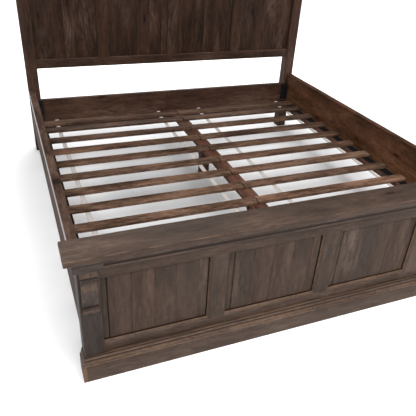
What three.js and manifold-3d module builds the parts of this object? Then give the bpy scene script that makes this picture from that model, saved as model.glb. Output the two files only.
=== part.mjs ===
// A king size bed frame in dark stained reclaimed wood: a panelled headboard, a low panelled footboard
// with a plank cap and carved corbels, two deep side rails, and two roll-out slat sets on a centre beam.
// Millimetres, +Z up. +X is across the bed and +Y runs from the footboard to the headboard.
import * as THREE from 'three';
import { mergeVertices } from 'three/addons/utils/BufferGeometryUtils.js';
import Module from 'manifold-3d';

// ---------- driving dimensions ----------
const FIT = 0.3; // clearance between pieces that touch

// Plan, with Y measured from the front of the footboard's plinth.
const HALF_WIDTH = 1031; // outer faces of the side rails and head posts
const POST_INNER = 957; // inner faces of all four posts
const FOOT_POST_OUTER = 1034;
const FOOT_POST = { front: 20, back: 95 };
const HEAD_POST = { front: 2175, back: 2247 };
const BED_FRONT = -24; // front edge of the footboard's cap
const BED_MIDDLE = (BED_FRONT + HEAD_POST.back) / 2;

// Panelled frames, the same layout at both ends: four openings and three stiles between the posts.
const STILE_WIDTH = 82;
const STILE_COUNT = 3;
const OPENING_WIDTH = (2 * POST_INNER - STILE_COUNT * STILE_WIDTH) / (STILE_COUNT + 1);
const FRAME_SETBACK = 10; // frame face behind the post face
const FRAME_THICKNESS = 35;
const PANEL_SETBACK = 15; // panel face behind the frame face
const PANEL_THICKNESS = 12;
const BOARD_WIDTH = 88;
const FIRST_GROOVE = 25; // from the left edge of an opening
const GROOVE = { width: 5, depth: 3 };
const RAIL_CHAMFER = 10;

// Footboard heights.
const FOOT = {
  bottomRail: 88, bottomRailTop: 160, topRailBottom: 458, crownBottom: 521, capBottom: 575, top: 600,
};
const FOOT_CAP_BACK = 104;
const FOOT_CAP_HALF = 1075;
const PLINTH = { half: 1047, faceHeight: 84, height: 113, returnBack: 78 };
const CORBEL = { width: 58, top: 535, bottom: 335, front: -12 };
const CORBEL_BLOCK = { inner: 946, outer: 1050, front: -15 };

// Headboard heights.
const HEAD = {
  bottomRail: 590, bottomRailTop: 650, topRailBottom: 1262, crownBottom: 1321, capBottom: 1375, top: 1400,
};
const HEAD_CAP = { front: 2131, half: 1072 };
const HEAD_PLANK = { front: 2177, back: 2205, bottom: 140, top: 375 };
const CROWN_OUT = { top: 16, bottom: 8 }; // how far the crown moulding stands out from the posts
const CAP_NOSE = 4; // eased edges of the cap planks

// Side rails, cleats, centre beam and brackets.
const RAIL = { inner: 989, bottom: 172, top: 450, bandBottom: 374, bandStep: 2, ease: 4 };
const CLEAT = { inner: { left: 950, right: 926 }, bottom: 200, endGap: 15 };
const BEAM = { half: 44, height: 22 };
const LEG = { width: 60, depth: 50, places: [690, 1470] };
const LEDGER = { back: 94, height: 60 };
const BRACKET = { plate: 3, bottom: 242, top: 372, reach: 44, flange: 30 };

// Slats: twelve a side, the first one set closer to its neighbour.
const SLAT = { width: 60, thickness: 19, top: 257, ease: 2.5, outer: 986 };
const SLAT_SEAM = { left: -7, right: -1 }; // inner ends, either side of a seam just left of the middle
const SLAT_PITCH = 176;
const SECOND_SLAT_BACK = 1954;
const FIRST_SLAT_BACK = 2078;
const SLATS_A_SIDE = 12;
const SLAT_BOTTOM = SLAT.top - SLAT.thickness;

// ---------- materials ----------
function wood(colour, roughness = 0.6) {
  return new THREE.MeshStandardMaterial({ color: colour, roughness, metalness: 0 });
}
const frameWood = () => wood(0x4a3a31);
const capWood = () => wood(0x57443a, 0.52);
const panelWood = () => wood(0x46382f, 0.65);
const slatWood = () => wood(0x61473a, 0.68);
const beamWood = () => wood(0x5d4231, 0.7);
const blackSteel = () => new THREE.MeshStandardMaterial({ color: 0x141516, roughness: 0.45, metalness: 0.8 });

// ---------- shapes ----------
const bed = new THREE.Group();
bed.position.y = -BED_MIDDLE;

const AXES = { x: new THREE.Vector3(1, 0, 0), y: new THREE.Vector3(0, 1, 0), z: new THREE.Vector3(0, 0, 1) };
const BACKWARD = new THREE.Vector3(0, -1, 0);
const ALONG_X = new THREE.Matrix4().makeBasis(AXES.y, AXES.z, AXES.x); // outline in Y and Z
const ALONG_Y = new THREE.Matrix4().makeBasis(AXES.x, AXES.z, BACKWARD); // outline in X and Z

function addMesh(name, geometry, material) {
  const mesh = new THREE.Mesh(geometry, material);
  mesh.name = name;
  bed.add(mesh);
  return mesh;
}

function addBox(name, [x0, x1], [y0, y1], [z0, z1], material) {
  const mesh = addMesh(name, new THREE.BoxGeometry(x1 - x0, y1 - y0, z1 - z0), material);
  mesh.position.set((x0 + x1) / 2, (y0 + y1) / 2, (z0 + z1) / 2);
  return mesh;
}

function outline(points) {
  return new THREE.Shape(points.map(([a, b]) => new THREE.Vector2(a, b)));
}

function extrude(shape, depth) {
  return new THREE.ExtrudeGeometry(shape, { depth, bevelEnabled: false, curveSegments: 6 });
}

// A prism along X whose outline is given in (y, z), or along Y with its outline in (x, z).
function prismX(shape, x0, x1) {
  return extrude(shape, x1 - x0).applyMatrix4(ALONG_X).translate(x0, 0, 0);
}
function prismY(shape, y0, y1) {
  return extrude(shape, y1 - y0).applyMatrix4(ALONG_Y).translate(0, y1, 0);
}
function prismZ(shape, z0, z1) {
  return extrude(shape, z1 - z0).translate(0, 0, z0);
}
function block([x0, x1], [y0, y1], [z0, z1]) {
  const geometry = new THREE.BoxGeometry(x1 - x0, y1 - y0, z1 - z0);
  return geometry.translate((x0 + x1) / 2, (y0 + y1) / 2, (z0 + z1) / 2);
}

// A rectangle with its four corners cut off.
function easedRectangle([a0, a1], [b0, b1], ease) {
  return outline([
    [a0 + ease, b0], [a1 - ease, b0], [a1, b0 + ease], [a1, b1 - ease],
    [a1 - ease, b1], [a0 + ease, b1], [a0, b1 - ease], [a0, b0 + ease],
  ]);
}

// ---------- solids that are cut or joined ----------
const wasm = await Module();
wasm.setup();

function solid(geometry) {
  const bare = geometry.clone();
  bare.deleteAttribute('normal');
  bare.deleteAttribute('uv');
  const merged = mergeVertices(bare, 1e-3);
  const vertProperties = new Float32Array(merged.getAttribute('position').array);
  const triVerts = new Uint32Array(merged.getIndex().array);
  return new wasm.Manifold(new wasm.Mesh({ numProp: 3, vertProperties, triVerts }));
}

function geometryOf(manifold) {
  const { vertProperties, triVerts } = manifold.getMesh();
  const geometry = new THREE.BufferGeometry();
  geometry.setAttribute('position', new THREE.BufferAttribute(vertProperties, 3));
  geometry.setIndex(new THREE.BufferAttribute(triVerts, 1));
  geometry.computeVertexNormals();
  return geometry;
}

// A moulding that wraps the front and both sides of the posts, with mitred corners: two crossed
// prisms share the outer shape, and the space of the posts is cut away.
function surround(frontOutline, widthOutline, half, [y0, y1], core) {
  const across = solid(prismX(frontOutline, -half, half));
  const through = solid(prismY(widthOutline, y0, y1));
  return across.intersect(through).subtract(solid(core));
}

// ---------- panelled frames ----------
const SIDES = [['left', -1], ['right', 1]];
const STILES = ['left', 'centre', 'right'];
const BETWEEN_POSTS = [-POST_INNER + FIT, POST_INNER - FIT];

function stileStart(index) {
  return -POST_INNER + OPENING_WIDTH + index * (OPENING_WIDTH + STILE_WIDTH);
}

// Where the V-grooves between boards fall, measured from the left edge of one opening.
function grooveOffsets() {
  const offsets = [];
  for (let x = FIRST_GROOVE; x < OPENING_WIDTH - GROOVE.width; x += BOARD_WIDTH) offsets.push(x);
  return offsets;
}

// The boarded panel's outline in plan, with its grooves cut in the front face.
function boardedOutline(front) {
  const back = front + PANEL_THICKNESS;
  const points = [[BETWEEN_POSTS[0], back], [BETWEEN_POSTS[0], front]];
  for (let opening = 0; opening <= STILE_COUNT; opening += 1) {
    const start = -POST_INNER + opening * (OPENING_WIDTH + STILE_WIDTH);
    for (const offset of grooveOffsets()) {
      const x = start + offset;
      points.push([x - GROOVE.width / 2, front], [x, front + GROOVE.depth], [x + GROOVE.width / 2, front]);
    }
  }
  points.push([BETWEEN_POSTS[1], front], [BETWEEN_POSTS[1], back]);
  return outline(points);
}

function frameRail(name, front, [z0, z1], topChamfer) {
  const back = front + FRAME_THICKNESS;
  const chamfered = [[front + topChamfer, z1], [front, z1 - topChamfer]];
  const shape = outline([[front, z0], [back, z0], [back, z1], ...chamfered]);
  addMesh(name, prismX(shape, ...BETWEEN_POSTS), frameWood());
}

function panelledFrame(end, postFront, bottomRail, topRail) {
  const front = postFront + FRAME_SETBACK;
  const panelFront = front + PANEL_SETBACK;
  const opening = [bottomRail[1] + FIT, topRail[0] - FIT];
  frameRail(`${end}_bottom_rail`, front, bottomRail, RAIL_CHAMFER);
  addBox(`${end}_top_rail`, BETWEEN_POSTS, [front, front + FRAME_THICKNESS], topRail, frameWood());
  STILES.forEach((place, index) => {
    const start = stileStart(index);
    const depth = [front, panelFront - FIT];
    addBox(`${end}_stile_${place}`, [start, start + STILE_WIDTH], depth, opening, frameWood());
  });
  addMesh(`${end}_panel`, prismZ(boardedOutline(panelFront), ...opening), panelWood());
}

// ---------- crown and cap ----------
// The crown moulding under a cap: a flared strip round three sides, filled back to the frame's face.
function crown(postFront, postOuter, postBack, [z0, z1]) {
  const rise = z1 - z0;
  const flare = [[CROWN_OUT.bottom, 0], [CROWN_OUT.bottom + 1, rise * 0.3], [CROWN_OUT.top - 3, rise * 0.62],
    [CROWN_OUT.top, rise * 0.7], [CROWN_OUT.top, rise]];
  const face = flare.map(([out, up]) => [postFront - out, z0 + up]);
  const front = outline([[postBack, z1], [postBack, z0], ...face]);
  const right = flare.map(([out, up]) => [postOuter + out, z0 + up]);
  const left = flare.map(([out, up]) => [-postOuter - out, z0 + up]).reverse();
  const core = block([-postOuter - FIT, postOuter + FIT], [postFront - FIT, postBack + 1], [z0 - 1, z1 + 1]);
  const half = postOuter + 2 * CROWN_OUT.top;
  const depth = [postFront - 2 * CROWN_OUT.top, postBack];
  const ring = surround(front, outline([...right, ...left]), half, depth, core);
  const filler = block(BETWEEN_POSTS, [postFront - 1, postFront + FRAME_SETBACK - FIT], [z0, z1]);
  return ring.add(solid(filler));
}

function capPlank(name, half, [y0, y1], [z0, z1]) {
  addMesh(name, prismX(easedRectangle([y0, y1], [z0, z1], CAP_NOSE), -half, half), capWood());
}

// ---------- footboard ----------
// The corbel's side outline: a square head, a cove under it, a full belly, a tuck and a small lip.
function corbelOutline() {
  const back = FOOT_POST.front - FIT;
  const { top, bottom, front } = CORBEL;
  const shape = new THREE.Shape();
  shape.moveTo(back, bottom);
  shape.lineTo(back, top);
  shape.lineTo(front, top);
  shape.lineTo(front, top - 24);
  shape.quadraticCurveTo(front + 20, top - 26, front + 19, top - 58);
  shape.bezierCurveTo(front + 4, top - 72, front + 2, top - 108, front + 16, top - 136);
  shape.quadraticCurveTo(front + 24, top - 152, front + 25, bottom + 20);
  shape.lineTo(front + 17, bottom + 17);
  shape.lineTo(front + 17, bottom + 6);
  shape.lineTo(front + 23, bottom);
  return shape;
}

function buildCorbels() {
  const middle = (POST_INNER + FOOT_POST_OUTER) / 2;
  for (const [side, sign] of SIDES) {
    const x = sign * middle;
    const geometry = prismX(corbelOutline(), x - CORBEL.width / 2, x + CORBEL.width / 2);
    addMesh(`foot_corbel_${side}`, geometry, frameWood());
  }
}

function buildFootCrown() {
  const heights = [FOOT.crownBottom, FOOT.capBottom - FIT];
  let body = crown(FOOT_POST.front, FOOT_POST_OUTER, FOOT_POST.back, heights);
  for (const [, sign] of SIDES) {
    const reach = [sign * CORBEL_BLOCK.inner, sign * CORBEL_BLOCK.outer].sort((a, b) => a - b);
    const depth = [CORBEL_BLOCK.front, FOOT_POST.front - FIT];
    body = body.add(solid(block(reach, depth, [CORBEL.top + FIT, heights[1]])));
    const corbelSpace = [CORBEL_BLOCK.front - 1, FOOT_POST.front + 5];
    body = body.subtract(solid(block(reach, corbelSpace, [heights[0] - 1, CORBEL.top + FIT])));
  }
  addMesh('foot_crown', geometryOf(body), frameWood());
}

// The plinth: a skirting board round the footboard's front and the posts' sides, with a bevelled top.
function buildPlinth() {
  const { half, faceHeight, height, returnBack } = PLINTH;
  const face = FOOT_POST.front - FIT;
  const front = outline([[0, 0], [returnBack, 0], [returnBack, height], [face, height], [face - 6, height - 4],
    [face - 9, height - 16], [face - 15, faceHeight + 4], [0, faceHeight]]);
  const edge = [[half, 0], [half, faceHeight], [half - 5, faceHeight + 4], [half - 9, height - 16],
    [half - 11, height - 4], [FOOT_POST_OUTER + FIT, height]];
  const width = outline([...edge, ...edge.map(([x, z]) => [-x, z]).reverse()]);
  const outer = FOOT_POST_OUTER + FIT;
  const core = block([-outer, outer], [face, returnBack + 1], [-1, height + 1]);
  const skirting = surround(front, width, half + 1, [-1, returnBack], core);
  const fillet = block(BETWEEN_POSTS, [face - 1, FOOT_POST.front + FRAME_SETBACK - FIT], [0, height]);
  addMesh('foot_plinth', geometryOf(skirting.add(solid(fillet))), frameWood());
}

function buildFootboard() {
  for (const [side, sign] of SIDES) {
    const across = [sign * POST_INNER, sign * FOOT_POST_OUTER].sort((a, b) => a - b);
    const height = [0, FOOT.capBottom - FIT];
    addBox(`foot_post_${side}`, across, [FOOT_POST.front, FOOT_POST.back], height, frameWood());
  }
  const bottomRail = [FOOT.bottomRail, FOOT.bottomRailTop];
  panelledFrame('foot', FOOT_POST.front, bottomRail, [FOOT.topRailBottom, FOOT.capBottom - FIT]);
  capPlank('foot_cap', FOOT_CAP_HALF, [BED_FRONT, FOOT_CAP_BACK], [FOOT.capBottom, FOOT.top]);
  buildFootCrown();
  buildCorbels();
  buildPlinth();
  const frameBack = FOOT_POST.front + FRAME_SETBACK + FRAME_THICKNESS;
  const ledgerTop = SLAT_BOTTOM - BEAM.height;
  const ledger = [ledgerTop - FIT - LEDGER.height, ledgerTop - FIT];
  addBox('foot_ledger', BETWEEN_POSTS, [frameBack + FIT, LEDGER.back], ledger, beamWood());
}

// ---------- headboard ----------
function buildHeadboard() {
  for (const [side, sign] of SIDES) {
    const across = [sign * POST_INNER, sign * HALF_WIDTH].sort((a, b) => a - b);
    const height = [0, HEAD.capBottom - FIT];
    addBox(`head_post_${side}`, across, [HEAD_POST.front, HEAD_POST.back], height, frameWood());
  }
  const heights = [HEAD.crownBottom, HEAD.capBottom - FIT];
  const bottomRail = [HEAD.bottomRail, HEAD.bottomRailTop];
  panelledFrame('head', HEAD_POST.front, bottomRail, [HEAD.topRailBottom, heights[1]]);
  capPlank('head_cap', HEAD_CAP.half, [HEAD_CAP.front, HEAD_POST.back], [HEAD.capBottom, HEAD.top]);
  addMesh('head_crown', geometryOf(crown(HEAD_POST.front, HALF_WIDTH, HEAD_POST.back, heights)), frameWood());
  const { front, back, bottom, top } = HEAD_PLANK;
  addBox('head_plank', BETWEEN_POSTS, [front, back], [bottom, top], frameWood());
}

// ---------- side rails and slat supports ----------
// A rail's outline: eased edges, and an outer face whose upper band stands proud of the rest.
function railOutline(sign) {
  const { inner, bottom, top, bandBottom, bandStep, ease } = RAIL;
  const lower = HALF_WIDTH - bandStep;
  const points = [[inner, bottom], [lower, bottom], [lower, bandBottom], [HALF_WIDTH, bandBottom + bandStep],
    [HALF_WIDTH, top - ease], [HALF_WIDTH - ease, top], [inner + ease, top], [inner, top - ease]];
  return outline(points.map(([x, z]) => [sign * x, z]));
}

// A steel corner angle: one plate on the post, one flange on the rail's inner face.
function cornerBracket(end, side, sign, postFace, inward) {
  const railFace = RAIL.inner - FIT;
  const plate = [[railFace - BRACKET.reach, 0], [railFace, 0], [railFace, BRACKET.flange],
    [railFace - BRACKET.plate, BRACKET.flange], [railFace - BRACKET.plate, BRACKET.plate],
    [railFace - BRACKET.reach, BRACKET.plate]];
  const shape = outline(plate.map(([x, y]) => [sign * x, postFace + inward * (y + FIT)]));
  addMesh(`bracket_${end}_${side}`, prismZ(shape, BRACKET.bottom, BRACKET.top), blackSteel());
}

function buildSides() {
  const length = [FOOT_POST.back + FIT, HEAD_POST.front - FIT];
  for (const [side, sign] of SIDES) {
    addMesh(`side_rail_${side}`, prismY(railOutline(sign), ...length), frameWood());
    const across = [sign * CLEAT.inner[side], sign * (RAIL.inner - FIT)].sort((a, b) => a - b);
    const cleatLength = [length[0] + CLEAT.endGap, length[1] - CLEAT.endGap];
    addBox(`cleat_${side}`, across, cleatLength, [CLEAT.bottom, SLAT_BOTTOM - FIT], beamWood());
    cornerBracket('head', side, sign, HEAD_POST.front, -1);
    cornerBracket('foot', side, sign, FOOT_POST.back, 1);
  }
}

function buildCentre() {
  const beamTop = SLAT_BOTTOM - FIT;
  const beamBottom = beamTop - BEAM.height;
  const frameBack = FOOT_POST.front + FRAME_SETBACK + FRAME_THICKNESS;
  const length = [frameBack + FIT, HEAD_PLANK.front - FIT];
  addBox('centre_beam', [-BEAM.half, BEAM.half], length, [beamBottom, beamTop], beamWood());
  const names = ['foot', 'head'];
  LEG.places.forEach((y, index) => {
    const across = [-LEG.width / 2, LEG.width / 2];
    const depth = [y - LEG.depth / 2, y + LEG.depth / 2];
    addBox(`centre_leg_${names[index]}`, across, depth, [0, beamBottom - FIT], beamWood());
  });
}

// ---------- slats ----------
function slatBacks() {
  const backs = [FIRST_SLAT_BACK];
  for (let i = 0; i < SLATS_A_SIDE - 1; i += 1) backs.push(SECOND_SLAT_BACK - i * SLAT_PITCH);
  return backs;
}

function buildSlats() {
  for (const [side, sign] of SIDES) {
    const across = [SLAT_SEAM[side], sign * SLAT.outer].sort((a, b) => a - b);
    slatBacks().forEach((back, index) => {
      const shape = easedRectangle([back - SLAT.width, back], [SLAT_BOTTOM, SLAT.top], SLAT.ease);
      const number = String(index + 1).padStart(2, '0');
      addMesh(`slat_${side}_${number}`, prismX(shape, ...across), slatWood());
    });
  }
}

buildHeadboard();
buildFootboard();
buildSides();
buildCentre();
buildSlats();

export default bed;
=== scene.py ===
"""A king size bed frame in dark stained reclaimed wood: every board, moulding and fitting, with its finishes."""

import logging
import math
import random
from collections.abc import Callable, Iterable, Sequence
from dataclasses import dataclass, field, replace
from enum import Enum
from functools import cache
from typing import Any

import bmesh
import bpy
from mathutils import Matrix, Vector, noise


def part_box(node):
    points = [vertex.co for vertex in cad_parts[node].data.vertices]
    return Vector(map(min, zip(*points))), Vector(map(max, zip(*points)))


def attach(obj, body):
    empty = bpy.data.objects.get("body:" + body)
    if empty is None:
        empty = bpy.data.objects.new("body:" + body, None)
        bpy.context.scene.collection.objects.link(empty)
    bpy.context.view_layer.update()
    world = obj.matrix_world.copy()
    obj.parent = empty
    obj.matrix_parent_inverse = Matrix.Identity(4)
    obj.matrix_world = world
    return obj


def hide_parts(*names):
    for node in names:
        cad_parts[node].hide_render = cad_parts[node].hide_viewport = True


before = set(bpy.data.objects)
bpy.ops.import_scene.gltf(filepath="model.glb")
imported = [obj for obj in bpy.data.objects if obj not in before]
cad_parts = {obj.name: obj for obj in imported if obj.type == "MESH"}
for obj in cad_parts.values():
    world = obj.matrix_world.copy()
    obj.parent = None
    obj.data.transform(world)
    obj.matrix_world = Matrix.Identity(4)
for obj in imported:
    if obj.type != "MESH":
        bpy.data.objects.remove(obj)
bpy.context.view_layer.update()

LOG = logging.getLogger("bed")
Triple = tuple[float, float, float]
Tint = tuple[float, float, float]  # red, green and blue, 0 to 255
Pair = tuple[float, float]
Spot = tuple[Sequence[float], Sequence[float]]  # a point and a direction
TURN = 2 * math.pi
SEED = 41
CLEARANCE = 0.0003  # between pieces that touch, in metres
TONES = random.Random(SEED)


def linear(tint: Tint) -> tuple[float, float, float, float]:
    """Turns a display colour of 0 to 255 into the linear colour that shaders use.

    Args:
        tint: Red, green and blue, from 0 to 255.

    Returns:
        Linear red, green, blue and an alpha of 1.
    """
    parts = [c / 255 for c in tint]
    r, g, b = [c / 12.92 if c <= 0.04045 else ((c + 0.055) / 1.055) ** 2.4 for c in parts]
    return (r, g, b, 1.0)


class Axis(Enum):
    """The way a board's grain runs."""

    ACROSS = 0
    LENGTHWISE = 1
    UPRIGHT = 2


class Body(Enum):
    """The three bodies that pieces ride on."""

    FRAME = "frame"
    SLATS_LEFT = "slats_left"
    SLATS_RIGHT = "slats_right"


class Side(Enum):
    """The two sides of the bed, seen from its foot."""

    LEFT = -1
    RIGHT = 1

    @property
    def word(self) -> str:
        """The side's name, as piece names spell it."""
        return self.name.lower()


def in_scene(name: str, data: bpy.types.ID) -> bpy.types.Object:
    """Makes an object of this mesh, light or camera, in the scene.

    Args:
        name: Its name.
        data: The mesh, light or camera.

    Returns:
        The object.
    """
    made = bpy.data.objects.new(name, data)
    bpy.context.scene.collection.objects.link(made)
    return made


# ---------------------------------------------------------------- node wiring


def operator_of(operation: str, reflected: bool = False) -> Callable[..., "Wire"]:
    """Makes an operator of Wire that adds one Math node.

    Args:
        operation: The node's operation.
        reflected: Whether the wire is the second value.

    Returns:
        The method.
    """

    def apply(self: "Wire", *others: Any) -> "Wire":
        """Adds the node."""
        values = (*others, self) if reflected else (self, *others)
        return self.bench.node("ShaderNodeMath", {"operation": operation}, dict(enumerate(values)))

    return apply


class Wire:
    """One output socket, with the arithmetic that shader expressions use."""

    def __init__(self, bench: "Wiring", socket: bpy.types.NodeSocket) -> None:
        """Keeps the socket and the tree that it is in."""
        self.bench = bench
        self.socket = socket

    def out(self, name: str) -> "Wire":
        """Another output of the same node."""
        return Wire(self.bench, self.socket.node.outputs[name])

    __add__ = __radd__ = operator_of("ADD")
    __sub__ = operator_of("SUBTRACT")
    __rsub__ = operator_of("SUBTRACT", reflected=True)
    __mul__ = __rmul__ = operator_of("MULTIPLY")
    __truediv__ = operator_of("DIVIDE")
    __abs__ = operator_of("ABSOLUTE")
    fraction = operator_of("FRACT")
    least = operator_of("MINIMUM")
    most = operator_of("MAXIMUM")

    def __neg__(self) -> "Wire":
        """Opposite."""
        return self * -1.0

    def sine(self) -> "Wire":
        """Sine of an angle in radians, moved to 0 to 1."""
        return operator_of("SINE")(self) * 0.5 + 0.5

    def fade(self, low: Any, high: Any, start: float = 0.0, end: float = 1.0) -> "Wire":
        """Moves smoothly from start to end as the value goes from low to high."""
        sockets = {"Value": self, "From Min": low, "From Max": high, "To Min": start, "To Max": end}
        return self.bench.node("ShaderNodeMapRange", {"interpolation_type": "SMOOTHSTEP"}, sockets)


class Wiring:
    """A node tree being wired."""

    def __init__(self, tree: bpy.types.NodeTree) -> None:
        """Keeps the tree and empties it."""
        self.tree = tree
        tree.nodes.clear()

    def node(
        self,
        kind: str,
        settings: dict[str, Any] | None = None,
        sockets: dict[int | str, Any] | None = None,
        output: int | str = 0,
    ) -> Wire:
        """Adds any node.

        Args:
            kind: The node's type.
            settings: Its properties; "stops" gives a colour ramp's positions and colours.
            sockets: Values or wires for its inputs, by number or name.
            output: The output that is wanted.

        Returns:
            That output.
        """
        made = self.tree.nodes.new(kind)
        for name, value in (settings or {}).items():
            if name == "stops":
                ramp = made.color_ramp
                while len(ramp.elements) < len(value):
                    ramp.elements.new(0.5)
                for element, (place, colour) in zip(ramp.elements, value):
                    element.position = place
                    element.color = colour
            else:
                setattr(made, name, value)
        for key, value in (sockets or {}).items():
            if isinstance(value, Wire):
                self.tree.links.new(value.socket, made.inputs[key])
            else:
                made.inputs[key].default_value = value
        return Wire(self, made.outputs[output]) if made.outputs else Wire(self, made.inputs[0])

    def attribute(self, name: str, output: str = "Vector") -> Wire:
        """A named attribute of the mesh."""
        return self.node("ShaderNodeAttribute", {"attribute_name": name}, output=output)

    def where(self) -> Wire:
        """The place on the object, in metres."""
        return self.node("ShaderNodeTexCoord", output="Object")

    def parts(self, vector: Any) -> tuple[Wire, Wire, Wire]:
        """The three numbers of a vector."""
        first = self.node("ShaderNodeSeparateXYZ", None, {0: vector})
        return first, first.out("Y"), first.out("Z")

    def joined(self, x: Any = 0.0, y: Any = 0.0, z: Any = 0.0) -> Wire:
        """Three numbers as one vector."""
        return self.node("ShaderNodeCombineXYZ", None, {0: x, 1: y, 2: z})

    def vector(self, operation: str, *values: Any) -> Wire:
        """Adds a Vector Math node on these vectors."""
        return self.node("ShaderNodeVectorMath", {"operation": operation}, dict(enumerate(values)))

    def scaled(self, colour: Any, factor: Any) -> Wire:
        """Multiplies a vector or colour by one number."""
        return self.node("ShaderNodeVectorMath", {"operation": "SCALE"}, {0: colour, "Scale": factor})

    def mixed(self, factor: Any, first: Any, second: Any) -> Wire:
        """Mixes two colours."""
        sockets = {0: factor, 6: first, 7: second}
        return self.node("ShaderNodeMix", {"data_type": "RGBA"}, sockets, output=2)

    def cloud(self, at: Wire, stretch: Triple, detail: float = 2.0, rough: float = 0.5) -> Wire:
        """Noise of 0 to 1 on coordinates that are stretched first.

        Args:
            at: The coordinates.
            stretch: What each of them is multiplied by.
            detail: How many finer layers are added.
            rough: How strong the finer layers are.

        Returns:
            The noise.
        """
        place = self.vector("MULTIPLY", at, stretch)
        sockets = {"Vector": place, "Scale": 1.0, "Detail": detail, "Roughness": rough}
        return self.node("ShaderNodeTexNoise", {"noise_dimensions": "3D"}, sockets)

    def surface(self, colour: Any, rough: Any, height: Wire, depth: float, **fixed: float) -> None:
        """Ends the tree in a Principled surface with a bump.

        Args:
            colour: Base colour.
            rough: Roughness.
            height: Height of the relief, 0 to 1.
            depth: How deep the relief is, in metres.
            fixed: Constant values of other sockets, with spaces as underscores.
        """
        sockets = {"Height": height, "Strength": 1.0, "Distance": depth}
        bump = self.node("ShaderNodeBump", None, sockets)
        links = {"Base Color": colour, "Roughness": rough, "Normal": bump}
        links.update({name.replace("_", " "): value for name, value in fixed.items()})
        shader = self.node("ShaderNodeBsdfPrincipled", None, links)
        self.node("ShaderNodeOutputMaterial", None, {"Surface": shader})


# ---------------------------------------------------------------- finishes


@dataclass(frozen=True)
class Finish:
    """A surface finish that pieces are dressed in."""

    name: str

    def wire(self, bench: Wiring) -> None:
        """Wires the finish's nodes."""
        raise NotImplementedError

    @cache
    def material(self) -> bpy.types.Material:
        """The finish as a material, made once.

        Returns:
            The material.
        """
        made = bpy.data.materials.new(self.name)
        made.use_nodes = True
        self.wire(Wiring(made.node_tree))
        return made


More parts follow.
